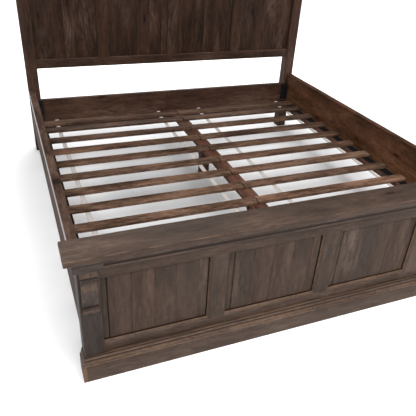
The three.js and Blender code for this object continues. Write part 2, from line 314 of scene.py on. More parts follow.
@dataclass(frozen=True)
class StainedWood(Finish):
    """Stained reclaimed wood, streaked along its grain, with worn arrises and painted shade in its creases. Lengths are
    in metres.
    """

    tint: Tint = (78, 56, 44)
    worn: Tint = (112, 78, 56)
    slot: str | None = "frame_wood"
    contrast: float = 1.0
    board_shift: float = 0.14
    warm_shift: float = 0.35
    knots: float = 0.25
    saw: float = 0.25
    wear: float = 0.40
    wear_width: float = 0.0045
    wash: float = 0.10
    wax: float = 0.85
    mottle: float = 0.75
    rough: float = 0.56
    relief: float = 0.0005
    specular: float = 0.25
    lean: float = 0.0

    def shade(self, red: float, green: float, blue: float) -> tuple[float, float, float, float]:
        """The tint with each channel scaled."""
        r, g, b, alpha = linear(self.tint)
        return (r * red, g * green, b * blue, alpha)

    def wire(self, bench: Wiring) -> None:
        """Wires streaks, knots, saw marks, pores, board tones, worn arrises and painted shade in creases.

        Args:
            bench: The material's tree.
        """
        spot, half = bench.attribute("timber"), bench.attribute("half")
        board, crest = bench.attribute("board", "Fac"), bench.attribute("crest", "Fac")
        at = bench.vector("ADD", spot, bench.joined(board * 31.7, board * 17.3, board * 9.1))
        along, across, through = bench.parts(at)

        cells = bench.vector("MULTIPLY", at, (2.3, 7.5, 7.5))
        settings = {"voronoi_dimensions": "2D", "feature": "F1"}
        near = bench.node("ShaderNodeTexVoronoi", settings, {"Vector": cells, "Scale": 1.0})
        chance = bench.node("ShaderNodeSeparateColor", None, {0: near.out("Color")})
        present = chance.fade(self.knots, self.knots + 0.02, 1.0, 0.0)
        pull = near.fade(0.04, 0.42, 1.0, 0.0) * present
        knot = near.fade(0.035, 0.085, 1.0, 0.0) * present

        sway = bench.cloud(at, (0.8, 3.2, 3.2), 2.0, 0.5)
        flow = across + pull * 0.016 + sway * 0.045
        lane = bench.joined(along, flow, through)
        broad = bench.cloud(lane, (3.2, 20.0, 20.0), 4.0, 0.6)
        streak = bench.cloud(lane, (17.0, 84.0, 84.0), 5.0, 0.68)
        fibre = bench.cloud(lane, (70.0, 330.0, 330.0), 3.0, 0.65)
        pores = bench.cloud(lane, (30.0, 1300.0, 1300.0), 1.0, 0.5).fade(0.60, 0.74)
        stain = bench.cloud(at, (2.4, 6.0, 6.0), 4.0, 0.6)
        fleck = bench.cloud(at, (52.0, 105.0, 105.0), 4.0, 0.72)
        skewed = bench.joined(along + across * 0.35, across, through)
        saw_patch = bench.cloud(at, (2.6, 5.0, 5.0), 2.0, 0.6).fade(0.50, 0.66)
        saw_line = bench.cloud(skewed, (165.0, 6.0, 6.0), 1.0, 0.5).fade(0.36, 0.64) * saw_patch * self.saw

        drift = (broad - 0.5) * 1.05 + (streak - 0.5) + (fibre - 0.5) * 0.55 + (stain - 0.5) * self.mottle
        drift = drift * self.contrast + 0.5
        dark, plain, pale = self.shade(0.40, 0.34, 0.30), self.shade(1.0, 1.0, 1.0), self.shade(1.75, 1.80, 1.86)
        stops = ((0.22, dark), (0.50, plain), (0.80, pale))
        wood = bench.node("ShaderNodeValToRGB", {"stops": stops}, {0: drift})
        warm = ((board * 7.31).fraction() * 0.5 + fleck * 0.5 * stain.fade(0.40, 0.62)) * self.warm_shift
        wood = bench.mixed(warm, wood, bench.vector("MULTIPLY", wood, (1.35, 0.96, 0.70)))
        tone = (board * 3.17).fraction() * (2 * self.board_shift) + (1 - self.board_shift)
        dent = fleck.fade(0.60, 0.70) * streak.fade(0.35, 0.50, 1.0, 0.0)
        shade = tone * (1 - pores * 0.35) * (1 - saw_line * 0.55) * (1 - dent * 0.45) * (0.72 + fleck * 0.56)
        if self.lean:  # painted light: paler towards the board's lower edge, a share of its tone for each metre
            shade = shade * (1 - bench.parts(spot)[1] * self.lean)
        wood = bench.scaled(wood, shade)
        grey = bench.scaled(linear((128, 119, 112))[:3], shade)
        wood = bench.mixed(stain.fade(0.48, 0.74) * streak.fade(0.40, 0.60) * self.wash, wood, grey)
        wood = bench.mixed(near.fade(0.08, 0.19, 1.0, 0.0) * present * 0.45, wood, self.shade(0.75, 0.50, 0.40))
        wood = bench.mixed(knot * 0.85, wood, self.shade(0.16, 0.12, 0.10))

        gap = bench.vector("SUBTRACT", half, bench.vector("ABSOLUTE", spot))
        first, second, third = bench.parts(gap)
        rim = first.least(second).most(first.most(second).least(third))
        reach = bench.cloud(at, (9.0, 40.0, 40.0), 3.0, 0.6).fade(0.34, 0.70) * self.wear_width + 0.0004
        rubbed = rim.fade(0.0, reach, 1.0, 0.0).most(crest * fleck.fade(0.30, 0.58)) * self.wear
        rubbed = rubbed * stain.fade(0.30, 0.55, 0.40, 1.0)
        wood = bench.mixed(rubbed, wood, linear(self.worn))
        # painted shade: the creases are darkened as if shade fell in the corners
        crease_shaded = (-crest).fade(0.10, 0.80) * self.wax
        wood = bench.mixed(crease_shaded, wood, self.shade(0.22, 0.13, 0.08))

        rough = fibre * 0.16 + stain * 0.18 + pores * 0.10 - rubbed * 0.10 + (self.rough - 0.17)
        height = fibre * 0.35 + streak * 0.30 + broad * 0.15 + saw_line * 0.5 - pores * 0.30 - knot * 0.4
        bench.surface(wood, rough, height, self.relief, Specular_IOR_Level=self.specular)


@dataclass(frozen=True)
class BlackSteel(Finish):
    """Steel with a thin black coat, rubbed bare in patches."""

    slot: str = "black_steel"
    tint: Tint = (15, 15, 16)

    def wire(self, bench: Wiring) -> None:
        """Wires an uneven coat with small pits and rubbed patches.

        Args:
            bench: The material's tree.
        """
        at = bench.where()
        grit = bench.cloud(at, (900.0, 900.0, 900.0), 2.0, 0.6)
        patch = bench.cloud(at, (60.0, 60.0, 60.0), 4.0, 0.65)
        rubbed = patch.fade(0.62, 0.74)
        colour = bench.mixed(rubbed * 0.55, linear(self.tint), linear((92, 92, 94)))
        colour = bench.scaled(colour, 0.85 + grit * 0.3)
        rough = grit * 0.18 + patch * 0.16 + 0.30 - rubbed * 0.10
        bench.surface(colour, rough, grit * 0.6 + patch * 0.4, 0.00012, Metallic=0.3)


@dataclass(frozen=True)
class ZincSteel(Finish):
    """Bright zinc plate on the webbing staples."""

    tint: Tint = (176, 178, 180)

    def wire(self, bench: Wiring) -> None:
        """Wires dull blotches and fine turning lines.

        Args:
            bench: The material's tree.
        """
        at = bench.where()
        bloom = bench.cloud(at, (420.0, 420.0, 420.0), 4.0, 0.6)
        lines = bench.cloud(at, (2600.0, 2600.0, 400.0), 1.0, 0.5)
        colour = bench.mixed(bloom.fade(0.4, 0.7), linear(self.tint), linear((120, 120, 118)))
        rough = bloom * 0.30 + lines * 0.10 + 0.14
        bench.surface(colour, rough, lines * 0.5 + bloom * 0.5, 0.00005, Metallic=1.0)


@dataclass(frozen=True)
class Webbing(Finish):
    """Flat woven polyester tape."""

    tint: Tint = (164, 156, 151)
    warp_pitch: float = 0.0021
    weft_pitch: float = 0.0016

    def wire(self, bench: Wiring) -> None:
        """Wires a plain weave that follows the tape, with heavier edge yarns.

        Args:
            bench: The material's tree.
        """
        spot = bench.attribute("timber")
        along, across, _ = bench.parts(spot)
        warp = (along * (TURN / self.warp_pitch)).sine()
        weft = (across * (TURN / self.weft_pitch)).sine()
        over = warp * weft + (1 - warp) * (1 - weft)
        edge = abs(across).fade(0.0100, 0.0118)
        soil = bench.cloud(spot, (14.0, 60.0, 60.0), 4.0, 0.6)
        colour = bench.mixed(over * 0.30, linear(self.tint), linear((118, 113, 111)))
        colour = bench.mixed(soil.fade(0.50, 0.75) * 0.35, colour, linear((126, 114, 108)))
        colour = bench.scaled(colour, 1 - edge * 0.15)
        bench.surface(colour, 0.80 + soil * 0.15, over * 0.8 + soil * 0.2, 0.00035, Sheen_Weight=0.25)


@dataclass(frozen=True)
class Felt(Finish):
    """Pressed black felt tape."""

    def wire(self, bench: Wiring) -> None:
        """Wires matted fibres with a few pale specks of lint.

        Args:
            bench: The material's tree.
        """
        at = bench.where()
        mat = bench.cloud(at, (700.0, 700.0, 700.0), 4.0, 0.7)
        lint = bench.cloud(at, (300.0, 130.0, 300.0), 5.0, 0.7).fade(0.64, 0.74)
        colour = bench.mixed(mat, linear((7, 7, 8)), linear((18, 18, 18)))
        colour = bench.mixed(lint * 0.25, colour, linear((92, 88, 84)))
        bench.surface(colour, 0.90 + mat * 0.08, mat, 0.0006, Specular_IOR_Level=0.1)


@dataclass(frozen=True)
class BlackPlastic(Finish):
    """Moulded plastic of the levelling feet."""

    def wire(self, bench: Wiring) -> None:
        """Wires a fine moulded grain with scuffs.

        Args:
            bench: The material's tree.
        """
        at = bench.where()
        grain = bench.cloud(at, (1500.0, 1500.0, 1500.0), 2.0, 0.5)
        scuff = bench.cloud(at, (160.0, 160.0, 40.0), 4.0, 0.7).fade(0.58, 0.72)
        colour = bench.mixed(scuff * 0.3, linear((22, 22, 23)), linear((80, 80, 80)))
        bench.surface(colour, grain * 0.2 + scuff * 0.15 + 0.42, grain, 0.0001)


@dataclass(frozen=True)
class StudioFloor(Finish):
    """Pale seamless floor with a painted shade patch under the bed, that glows faintly away from the bed, as a lit
    studio sweep does.
    """

    tint: Tint = (242, 242, 243)
    half_width: float = 1.07
    half_length: float = 1.13
    glow_start: float = 0.16
    glow_end: float = 2.2
    glow: float = 0.85
    shade_middle: Triple = (-0.30, 0.42, 0.0)
    shade_start: float = 0.28
    shade_end: float = 0.68
    shade_tint: Tint = (203, 203, 204)

    def wire(self, bench: Wiring) -> None:
        """Wires a matte surface with a faint mottle, a painted shade patch under the slats and the glow.

        Args:
            bench: The material's tree.
        """
        at = bench.where()
        mottle = bench.cloud(at, (0.8, 0.8, 0.8), 2.0, 0.5)
        colour = bench.mixed(mottle, linear(self.tint), linear((238, 238, 239)))
        # painted shade: a soft darker patch on the floor under the slats
        cloud = bench.cloud(at, (3.0, 6.0, 6.0), 3.0, 0.6)
        distance = {"operation": "DISTANCE"}
        away = bench.node("ShaderNodeVectorMath", distance, {0: at, 1: self.shade_middle}, output="Value")
        shaded = (away + cloud * 0.1).fade(self.shade_start, self.shade_end, 1.0, 0.0)
        colour = bench.mixed(shaded, colour, linear(self.shade_tint))
        x, y, _ = bench.parts(at)
        beyond = (abs(x) - self.half_width).most(abs(y) - self.half_length)
        glow = bench.scaled((1.0, 1.0, 1.0), beyond.fade(self.glow_start, self.glow_end) * self.glow)
        extra = {"Emission Color": glow, "Emission Strength": 1.0, "Specular IOR Level": 0.25}
        bench.surface(colour, 0.72 + mottle * 0.05, mottle, 0.00005, **extra)


FOOT_WOOD = StainedWood("foot_wood", (61, 49, 41), (116, 87, 65), contrast=0.62, wash=0.15, wear=0.36, specular=0.15)
CROWN_WOOD = replace(FOOT_WOOD, name="crown_wood", wear=0.48, wax=0.95)
FOOT_POST_WOOD = replace(FOOT_WOOD, name="foot_post_wood", tint=(47, 39, 35), wear=0.20)
HEAD_WOOD = StainedWood("head_wood", (52, 36, 27), (92, 64, 46), contrast=0.80, wear=0.25, specular=0.12)
HEAD_STILE_WOOD = replace(HEAD_WOOD, name="head_stile_wood", tint=(43, 28, 19))
CAP_WOOD = StainedWood(
    "cap_wood", (52, 40, 32), (128, 98, 78), slot="cap_wood", contrast=0.60, mottle=1.0, saw=0.5, rough=0.52,
    warm_shift=0.8, wear=0.45, specular=0.16
)
PANEL_WOOD = StainedWood(
    "panel_wood", (55, 44, 37), (108, 76, 54), slot="panel_wood", contrast=0.60, board_shift=0.09, warm_shift=0.6,
    wash=0.15, specular=0.15
)
HEAD_PANEL_WOOD = StainedWood(
    "head_panel_wood", (40, 26, 18), (92, 62, 42), slot="panel_wood", wash=0.14, wear=0.2, specular=0.10
)
SLAT_WOOD = StainedWood(
    "slat_wood", (82, 63, 51), (122, 96, 78), slot="slat_wood", contrast=1.35, board_shift=0.46, specular=0.09,
    wear=0.30, rough=0.64, warm_shift=0.45
)
BEAM_WOOD = StainedWood(
    "beam_wood", (70, 44, 32), (124, 84, 62), slot="beam_wood", contrast=0.85, knots=0.5, rough=0.68,
    warm_shift=0.7, saw=0.6
)
BLOCK_WOOD = StainedWood("block_wood", (52, 33, 23), (96, 62, 44), slot="beam_wood", rough=0.68, specular=0.15)
# painted shade: near-black wood for the strips that stand for the shade in the panels' corners
SHADE_STRIP_WOOD = StainedWood(
    "quirk_wood", (26, 18, 13), (44, 31, 22), slot="panel_wood", wear=0.2, rough=0.7, specular=0.05
)
# painted light: the rails are one wood; the right one is painted paler and warmer, and paler still low down, for the
# light on its inner face
RAIL_WOODS = {
    Side.LEFT: StainedWood(
        "rail_wood_left", (62, 47, 39), (104, 82, 68), knots=0.4, mottle=1.2, warm_shift=0.5, rough=0.66, specular=0.06
    ),
    Side.RIGHT: StainedWood(
        "rail_wood_right", (80, 57, 42), (104, 84, 70), contrast=0.75, knots=0.5, mottle=1.5, warm_shift=0.9, wear=0.3,
        specular=0.05, lean=2.3
    ),
}
BAND_WOOD = StainedWood("band_wood", (104, 98, 96), (132, 124, 120), contrast=0.6, rough=0.36, wash=0.5, specular=0.8)
STEEL = BlackSteel("black_steel_coat")
ZINC = ZincSteel("zinc_plate")
TAPE = Webbing("webbing")
FELT = Felt("felt")
PLASTIC = BlackPlastic("black_plastic")
FLOOR = StudioFloor("studio_floor")


# ---------------------------------------------------------------- meshes


@dataclass(frozen=True)
class Stock:
    """The board that a shape is cut from, which places its grain."""

    low: Vector
    high: Vector
    grain: Axis
    tone: float

    def order(self) -> tuple[int, int, int]:
        """The axes along, across and through the board, the thinnest last.

        Returns:
            The axes' numbers.
        """
        rest = [a for a in range(3) if a != self.grain.value]
        rest.sort(key=lambda a: self.low[a] - self.high[a])
        return (self.grain.value, rest[0], rest[1])


def stock(low: Sequence[float], high: Sequence[float], grain: Axis) -> Stock:
    """A board of this box with the next random tone."""
    return Stock(Vector(low), Vector(high), grain, TONES.random())


def wobble(tone: float, place: float, pace: float) -> float:
    """A smooth value of about -1 to 1 that changes along a board.

    Args:
        tone: The board's own number.
        place: Distance along the board in metres.
        pace: Changes a metre.

    Returns:
        The value.
    """
    return noise.noise(Vector((place * pace, tone * 57.0, tone * 13.0)))


def inset(outline: Sequence[Pair], depth: float) -> list[Pair]:
    """Moves a closed outline inwards.

    Args:
        outline: Its points, in order.
        depth: How far, in metres.

    Returns:
        The same number of points.
    """
    count = len(outline)
    area = sum(a[0] * b[1] - b[0] * a[1] for a, b in zip(outline, [*outline[1:], outline[0]]))
    turn = 1 if area > 0 else -1
    moved = []
    for i, (x, y) in enumerate(outline):
        before, after = Vector(outline[i - 1]), Vector(outline[(i + 1) % count])
        here = Vector((x, y))
        into, away = (here - before).normalized(), (after - here).normalized()
        normal = Vector((-(into.y + away.y), into.x + away.x)) * turn
        if normal.length < 1e-6:
            normal = Vector((-into.y, into.x)) * turn
        normal.normalize()
        slant = max(0.45, abs(normal.dot(Vector((-into.y, into.x)))))
        moved.append(tuple(here + normal * (depth / slant)))
    return moved


class Piece:
    """A mesh in the making: closed solids, each with the coordinates that finishes read."""

    def __init__(self, name: str) -> None:
        """Starts an empty mesh.

        Args:
            name: The piece's name.
        """
        self.name = name
        self.points: list[Vector] = []
        self.faces: list[tuple[int, ...]] = []
        self.timber: list[float] = []
        self.half: list[float] = []
        self.board_tones: list[float] = []
        self.crest: list[float] = []

    def solid(
        self, loops: Sequence[Sequence[Vector]], board: Stock, crests: Iterable[int] = (), creases: Iterable[int] = ()
    ) -> None:
        """Joins loops of equal length into one closed solid with flat ends.

        Args:
            loops: Loops of points, in order along the solid.
            board: The board that it is cut from.
            crests: Which points of a loop lie on a moulding's crest, where wear shows.
            creases: Which points lie in a corner, where painted shade darkens the wood.
        """
        start, count = len(self.points), len(loops[0])
        marks = {**dict.fromkeys(crests, 1.0), **dict.fromkeys(creases, -1.0)}
        order = board.order()
        middle, half = (board.low + board.high) / 2, (board.high - board.low) / 2
        for loop in loops:
            for i, point in enumerate(loop):
                self.points.append(point)
                self.timber.extend(point[a] - middle[a] for a in order)
                self.half.extend(half[a] for a in order)
                self.board_tones.append(board.tone)
                self.crest.append(marks.get(i, 0.0))
        for k in range(len(loops) - 1):
            base = start + k * count
            for i in range(count):
                j = (i + 1) % count
                self.faces.append((base + i, base + j, base + count + j, base + count + i))
        self.faces.append(tuple(range(start + count - 1, start - 1, -1)))
        last = start + (len(loops) - 1) * count
        self.faces.append(tuple(range(last, last + count)))

    def board(
        self, low: Sequence[float], high: Sequence[float], grain: Axis, ease: float = 0.002, chips: float = 1.0
    ) -> None:
        """A sawn board with rounded, unevenly worn arrises.

        Args:
            low: Its lowest corner.
            high: Its highest corner.
            grain: The way its grain runs.
            ease: Radius of its arrises.
            chips: How uneven they are, 0 for a clean board.
        """
        made = stock(low, high, grain)
        run, b, c = grain.value, *[a for a in range(3) if a != grain.value]
        length = made.high[run] - made.low[run]
        steps = max(2, round(length / 0.07))
        inner = [ease + (length - 2 * ease) * k / steps for k in range(steps + 1)]
        places = [(0.0, ease * 0.8), (ease * 0.35, ease * 0.25)]
        places += [(x, 0.0) for x in inner]
        places += [(length - ease * 0.35, ease * 0.25), (length, ease * 0.8)]
        loops = []
        for place, shrink in places:
            loop = []
            corners = [(1, 1), (-1, 1), (-1, -1), (1, -1)]
            for number, (sb, sc) in enumerate(corners):
                uneven = 1 + chips * 0.55 * wobble(made.tone + number * 0.37, place, 9.0)
                notch = max(0.0, wobble(made.tone + number * 0.71, place, 3.1) - 0.38) * 6.0 * chips
                radius = ease * (uneven + notch)
                edge_b = (made.high if sb > 0 else made.low)[b] - sb * shrink
                edge_c = (made.high if sc > 0 else made.low)[c] - sc * shrink
                first = math.atan2(sc, sb) - math.pi / 4
                for k in range(3):
                    angle = first + k * math.pi / 4
                    point = Vector((0.0, 0.0, 0.0))
                    point[run] = made.low[run] + place
                    point[b] = edge_b - sb * radius + radius * math.cos(angle)
                    point[c] = edge_c - sc * radius + radius * math.sin(angle)
                    loop.append(point)
            loops.append(loop)
        self.solid(loops, made)

    def extrusion(
        self,
        outline: Sequence[Pair],
        run: Axis,
        ends: Pair,
        grain: Axis,
        ease: float = 0.0,
        crests: Iterable[int] = (),
        creases: Iterable[int] = (),
        step: float = 0.1,
        tone: float | None = None,
    ) -> None:
        """A profile along one axis, with its end edges eased.

        Args:
            outline: The profile's points on the other two axes, in their order.
            run: The axis it is drawn along.
            ends: Where it starts and stops.
            grain: The way its grain runs.
            ease: How far the end edges are eased.
            crests: Which profile points wear shows on.
            creases: Which profile points painted shade darkens, as in a corner.
            step: Longest stretch between two loops.
            tone: The board's own number, or nothing for the next random one.
        """
        b, c = [a for a in range(3) if a != run.value]
        low, high = Vector((0, 0, 0)), Vector((0, 0, 0))
        low[run.value], high[run.value] = ends
        low[b], high[b] = min(p[0] for p in outline), max(p[0] for p in outline)
        low[c], high[c] = min(p[1] for p in outline), max(p[1] for p in outline)
        steps = max(1, round((ends[1] - ends[0] - 2 * ease) / step))
        places = [(ends[0] + ease + (ends[1] - ends[0] - 2 * ease) * k / steps, 0.0) for k in range(steps + 1)]
        if ease > 0:
            places = [(ends[0], ease), *places, (ends[1], ease)]
        loops = []
        for place, depth in places:
            shape = inset(outline, depth) if depth else outline
            loop = []
            for p, q in shape:
                point = Vector((0, 0, 0))
                point[run.value], point[b], point[c] = place, p, q
                loop.append(point)
            loops.append(loop)
        made = stock(low, high, grain)
        self.solid(loops, made if tone is None else replace(made, tone=tone), crests, creases)

    def build(self, finish: Finish, smooth: float | None = None) -> bpy.types.Object:
        """Makes the mesh object, with its faces outwards.

        Args:
            finish: What it is dressed in.
            smooth: Edges gentler than this angle, in degrees, are shaded smooth.

        Returns:
            The object, at the origin.
        """
        shape = bmesh.new()
        corners = [shape.verts.new(p) for p in self.points]
        for loop in self.faces:
            shape.faces.new([corners[i] for i in loop])
        bmesh.ops.recalc_face_normals(shape, faces=shape.faces[:])
        mesh = bpy.data.meshes.new(self.name)
        shape.to_mesh(mesh)
        shape.free()
        wanted = (("timber", "FLOAT_VECTOR", "vector", self.timber), ("half", "FLOAT_VECTOR", "vector", self.half))
        wanted += (("board", "FLOAT", "value", self.board_tones), ("crest", "FLOAT", "value", self.crest))
        for name, kind, key, values in wanted:
            mesh.attributes.new(name, kind, "POINT").data.foreach_set(key, values)
        if smooth is not None:
            mesh.shade_smooth()
            mesh.set_sharp_from_angle(angle=math.radians(smooth))
        mesh.materials.append(finish.material())
        return in_scene(self.name, mesh)

    def fit(self, finish: Finish, *nodes: str, body: Body = Body.FRAME, smooth: float | None = None) -> None:
        """Makes the object and dresses it.

        Args:
            finish: What it is dressed in.
            nodes: The nodes that it stands for.
            body: What it moves with.
            smooth: Edges gentler than this angle, in degrees, are shaded smooth.
        """
        dress(self.build(finish, smooth), finish, body, nodes)


def timber(
    name: str, low: Sequence[float], high: Sequence[float], grain: Axis, ease: float, finish: Finish, *nodes: str
) -> None:
    """Makes and dresses a piece that is one sawn board.

    Args:
        name: Its name.
        low: Its lowest corner.
        high: Its highest corner.
        grain: The way its grain runs.
        ease: Radius of its arrises.
        finish: What it is dressed in.
        nodes: The nodes that it stands for.
    """
    piece = Piece(name)
    piece.board(low, high, grain, ease)
    piece.fit(finish, *nodes)


def dress(made: bpy.types.Object, finish: Finish, body: Body = Body.FRAME, stands_for: Iterable[str] = ()) -> None:
    """Makes a piece ride on its body, and hides the nodes that it stands for.

    Args:
        made: The piece.
        finish: Its finish.
        body: What it moves with.
        stands_for: The nodes that it replaces.
    """
    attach(made, body.value)
    nodes = list(stands_for)
    if nodes:
        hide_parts(*nodes)
    slot = getattr(finish, "slot", None)
    LOG.info("%s: %d faces on %s", made.name, len(made.data.polygons), body.value)


# ---------------------------------------------------------------- repeats


class NodeMaker:
    """A Geometry Nodes tree with named inputs, and how it is run on an object."""

    def __init__(self, name: str, inputs: Sequence[tuple[str, str]]) -> None:
        """Makes the tree and its sockets.

        Args:
            name: The tree's name.
            inputs: Name and type of each input after the geometry.
        """
        self.tree = bpy.data.node_groups.new(name, "GeometryNodeTree")
        face = self.tree.interface
        face.new_socket("Geometry", in_out="OUTPUT", socket_type="NodeSocketGeometry")
        face.new_socket("Geometry", in_out="INPUT", socket_type="NodeSocketGeometry")
        self.keys = {n: face.new_socket(n, in_out="INPUT", socket_type=t).identifier for n, t in inputs}
        self.bench = Wiring(self.tree)
        self.given = self.bench.node("NodeGroupInput")

    def chance(self, seed: Any, low: float = 0.0, high: float = 1.0) -> Wire:
        """A random number for each copy."""
        sockets = {2: low, 3: high, "Seed": seed}
        return self.bench.node("FunctionNodeRandomValue", {"data_type": "FLOAT"}, sockets, output=1)

    def real(self, copies: Wire, tone: Wire) -> Wire:
        """Gives each copy its own tone, and makes the copies real mesh.

        Args:
            copies: The instances.
            tone: A number for each of them.

        Returns:
            The mesh.
        """
        settings = {"data_type": "FLOAT", "domain": "INSTANCE"}
        sockets = {"Geometry": copies, "Name": "board", "Value": tone}
        toned = self.bench.node("GeometryNodeStoreNamedAttribute", settings, sockets)
        return self.bench.node("GeometryNodeRealizeInstances", None, {0: toned})

    def end(self, geometry: Wire) -> None:
        """Ends the tree in the finish."""
        done = self.bench.node("GeometryNodeSetMaterial", None, {0: geometry, "Material": self.given.out("Finish")})
        self.bench.node("NodeGroupOutput", None, {0: done})

    def run(self, host: bpy.types.Object, values: dict[str, Any], name: str) -> bpy.types.Object:
        """Runs the tree on a host and keeps the result as a plain mesh.

        Args:
            host: The object that carries the points; it is removed.
            values: Value of each named input.
            name: The result's name.

        Returns:
            The result, with no modifier.
        """
        modifier = host.modifiers.new("repeat", "NODES")
        modifier.node_group = self.tree
        for key, value in values.items():
            modifier[self.keys[key]] = value
        bpy.context.view_layer.update()
        graph = bpy.context.evaluated_depsgraph_get()
        mesh = bpy.data.meshes.new_from_object(host.evaluated_get(graph), depsgraph=graph)
        host.modifiers.remove(modifier)
        bpy.data.objects.remove(host)
        mesh.name = name
        return in_scene(name, mesh)


@cache
def slat_maker() -> NodeMaker:
    """The tree that lays a run of slats: one by the headboard, then the rest at an even pitch, with painted light
    making them paler towards the foot.

    Returns:
        The tree, made once.
    """
    numbers = ("First Middle", "Second Middle", "Pitch", "Skew", "Lift")
    inputs = [("Slat", "NodeSocketObject"), ("Count", "NodeSocketInt"), ("Seed", "NodeSocketInt")]
    inputs += [*((name, "NodeSocketFloat") for name in numbers), ("Finish", "NodeSocketMaterial")]
    maker = NodeMaker("slat_run", inputs)
    bench, given = maker.bench, maker.given
    count, seed = given.out("Count"), given.out("Seed")
    start, second, pitch, skew, lift = (given.out(name) for name in numbers)
    line = "GeometryNodeMeshLine"
    sockets = {"Count": count - 1, "Start Location": bench.joined(y=second), "Offset": bench.joined(y=-pitch)}
    rest = bench.node(line, None, sockets)
    first = bench.node(line, None, {"Count": 1, "Start Location": bench.joined(y=start)})
    both = bench.node("GeometryNodeJoinGeometry", None, {0: rest})
    bench.tree.links.new(first.socket, both.socket.node.inputs[0])
    slat = bench.node("GeometryNodeObjectInfo", None, {0: given.out("Slat")}, output="Geometry")
    turn = bench.joined(z=maker.chance(seed, -1.0) * skew)
    copies = bench.node("GeometryNodeInstanceOnPoints", None, {"Points": both, "Instance": slat, "Rotation": turn})
    spot = bench.node("GeometryNodeInputPosition")
    # painted light: each slat is painted paler the nearer it lies to the foot, where more light falls, plus a small
    # random tone
    share = (second - bench.parts(spot)[1]) / (pitch * count)
    tone = share.most(0.0) * 0.29 + maker.chance(seed + 5) * 0.06
    rise = bench.joined(z=bench.cloud(spot, (1.1, 7.3, 0.0), 1.0, 0.5) * lift)
    sockets = {"Geometry": maker.real(copies, tone), "Offset": rise}
    maker.end(bench.node("GeometryNodeSetPosition", None, sockets))
    return maker


@cache
def fixing_maker() -> NodeMaker:
    """The tree that sets a screw, bolt or staple on every point, facing the way the point says.

    Returns:
        The tree, made once.
    """
    inputs = [("Part", "NodeSocketObject"), ("Size", "NodeSocketFloat"), ("Seed", "NodeSocketInt")]
    maker = NodeMaker("fixing_set", [*inputs, ("Turn", "NodeSocketFloat"), ("Finish", "NodeSocketMaterial")])
    bench, given = maker.bench, maker.given
    chance = maker.chance(given.out("Seed"))
    part = bench.node("GeometryNodeObjectInfo", None, {0: given.out("Part")}, output="Geometry")
    facing = bench.node("GeometryNodeInputNamedAttribute", {"data_type": "FLOAT_VECTOR"}, {"Name": "facing"})
    aligned = bench.node("FunctionNodeAlignRotationToVector", {"axis": "Z"}, {"Vector": facing})
    about = {0: aligned, 1: bench.joined(z=chance * given.out("Turn"))}
    turned = bench.node("FunctionNodeRotateRotation", {"rotation_space": "LOCAL"}, about)
    sockets = {"Points": given, "Instance": part, "Rotation": turned, "Scale": given.out("Size")}
    maker.end(maker.real(bench.node("GeometryNodeInstanceOnPoints", None, sockets), chance))
    return maker


@dataclass
class Fixing:
    """A small turned part: a screw, bolt or cap, standing on Z with its seat at zero."""

    name: str
    radius: float
    profile: Sequence[Pair]
    sides: int = 24
    recess: float = 0.0
    finish: Finish = STEEL

    def recess_radius(self, angle: float, arm: float, half_width: float) -> float:
        """Polar radius of a cross recess.

        Args:
            angle: Where round the head, in radians.
            arm: How far each arm reaches.
            half_width: Half an arm's width.

        Returns:
            The radius there.
        """
        c, s = abs(math.cos(angle)), abs(math.sin(angle))
        big, small = max(c, s), max(min(c, s), 1e-3)
        return min(arm / big, half_width / small)

    def part(self) -> bpy.types.Object:
        """The part's own mesh.

        Returns:
            The object, which is the pattern of the copies.
        """
        piece = Piece(self.name + "_pattern")
        loops = []
        angles = [TURN * k / self.sides for k in range(self.sides)]
        for radius, height in self.profile:
            loops.append([Vector((radius * math.cos(t), radius * math.sin(t), height)) for t in angles])
        if self.recess:
            top = self.profile[-1][1]
            for scale, height in ((1.0, top), (0.75, top - self.recess)):
                arm, width = self.radius * 0.55 * scale, self.radius * 0.16 * scale
                radii = [self.recess_radius(t, arm, width) for t in angles]
                loops.append([Vector((r * math.cos(t), r * math.sin(t), height)) for r, t in zip(radii, angles)])
        low, high = (-self.radius, -self.radius, 0.0), (self.radius, self.radius, self.profile[-1][1])
        piece.solid(loops, stock(low, high, Axis.UPRIGHT))
        return piece.build(self.finish, 35.0)

    def place(self, name: str, spots: Sequence[Spot], body: Body = Body.FRAME) -> None:
        """Sets one of these at each spot, facing the way it says.

        Args:
            name: The piece's name.
            spots: Point and direction of each one.
            body: What they ride on.
        """
        pattern = self.part()
        mesh = bpy.data.meshes.new(name + "_points")
        mesh.from_pydata([p for p, _ in spots], [], [])
        facing = mesh.attributes.new("facing", "FLOAT_VECTOR", "POINT")
        facing.data.foreach_set("vector", [c for _, f in spots for c in f])
        host = in_scene(name + "_host", mesh)
        values = {"Part": pattern, "Size": 1.0, "Seed": SEED, "Turn": TURN, "Finish": self.finish.material()}
        made = fixing_maker().run(host, values, name)
        bpy.data.objects.remove(pattern)
        dress(made, self.finish, body)


PAN_SCREW = Fixing(
    "pan_screw", 0.0045, [(0.0045, 0.0), (0.0045, 0.0008), (0.0040, 0.0018), (0.0029, 0.0024)], 24, 0.0012
)
HEX_BOLT = Fixing(
    "hex_bolt", 0.0100,
    [
        (0.0100, 0.0), (0.0100, 0.0014), (0.0066, 0.0015), (0.0070, 0.0016), (0.0075, 0.0022), (0.0075, 0.0062),
        (0.0064, 0.0072),
    ],
    6,
)
ADJUSTER = Fixing(
    "adjuster", 0.020,
    [(0.018, 0.0), (0.020, 0.002), (0.020, 0.006), (0.012, 0.010), (0.005, 0.011), (0.005, 0.016)],
    28, 0.0, PLASTIC,
)


# ---------------------------------------------------------------- panelled ends

FOOT_TONES = (0.0, 0.13, 0.12, 0.09, 0.20, 0.28)
HEAD_VEE = (0.0007, 0.0008)
STILES = ("stile_left", "stile_centre", "stile_right")
CROWN_CRESTS, CROWN_CREASES = (11, 12), (1, 4, 5, 13)
BACKWARDS = (0.0, 1.0, 0.0)
SOFT = 25.0  # edges gentler than this angle, in degrees, look rounded on mouldings


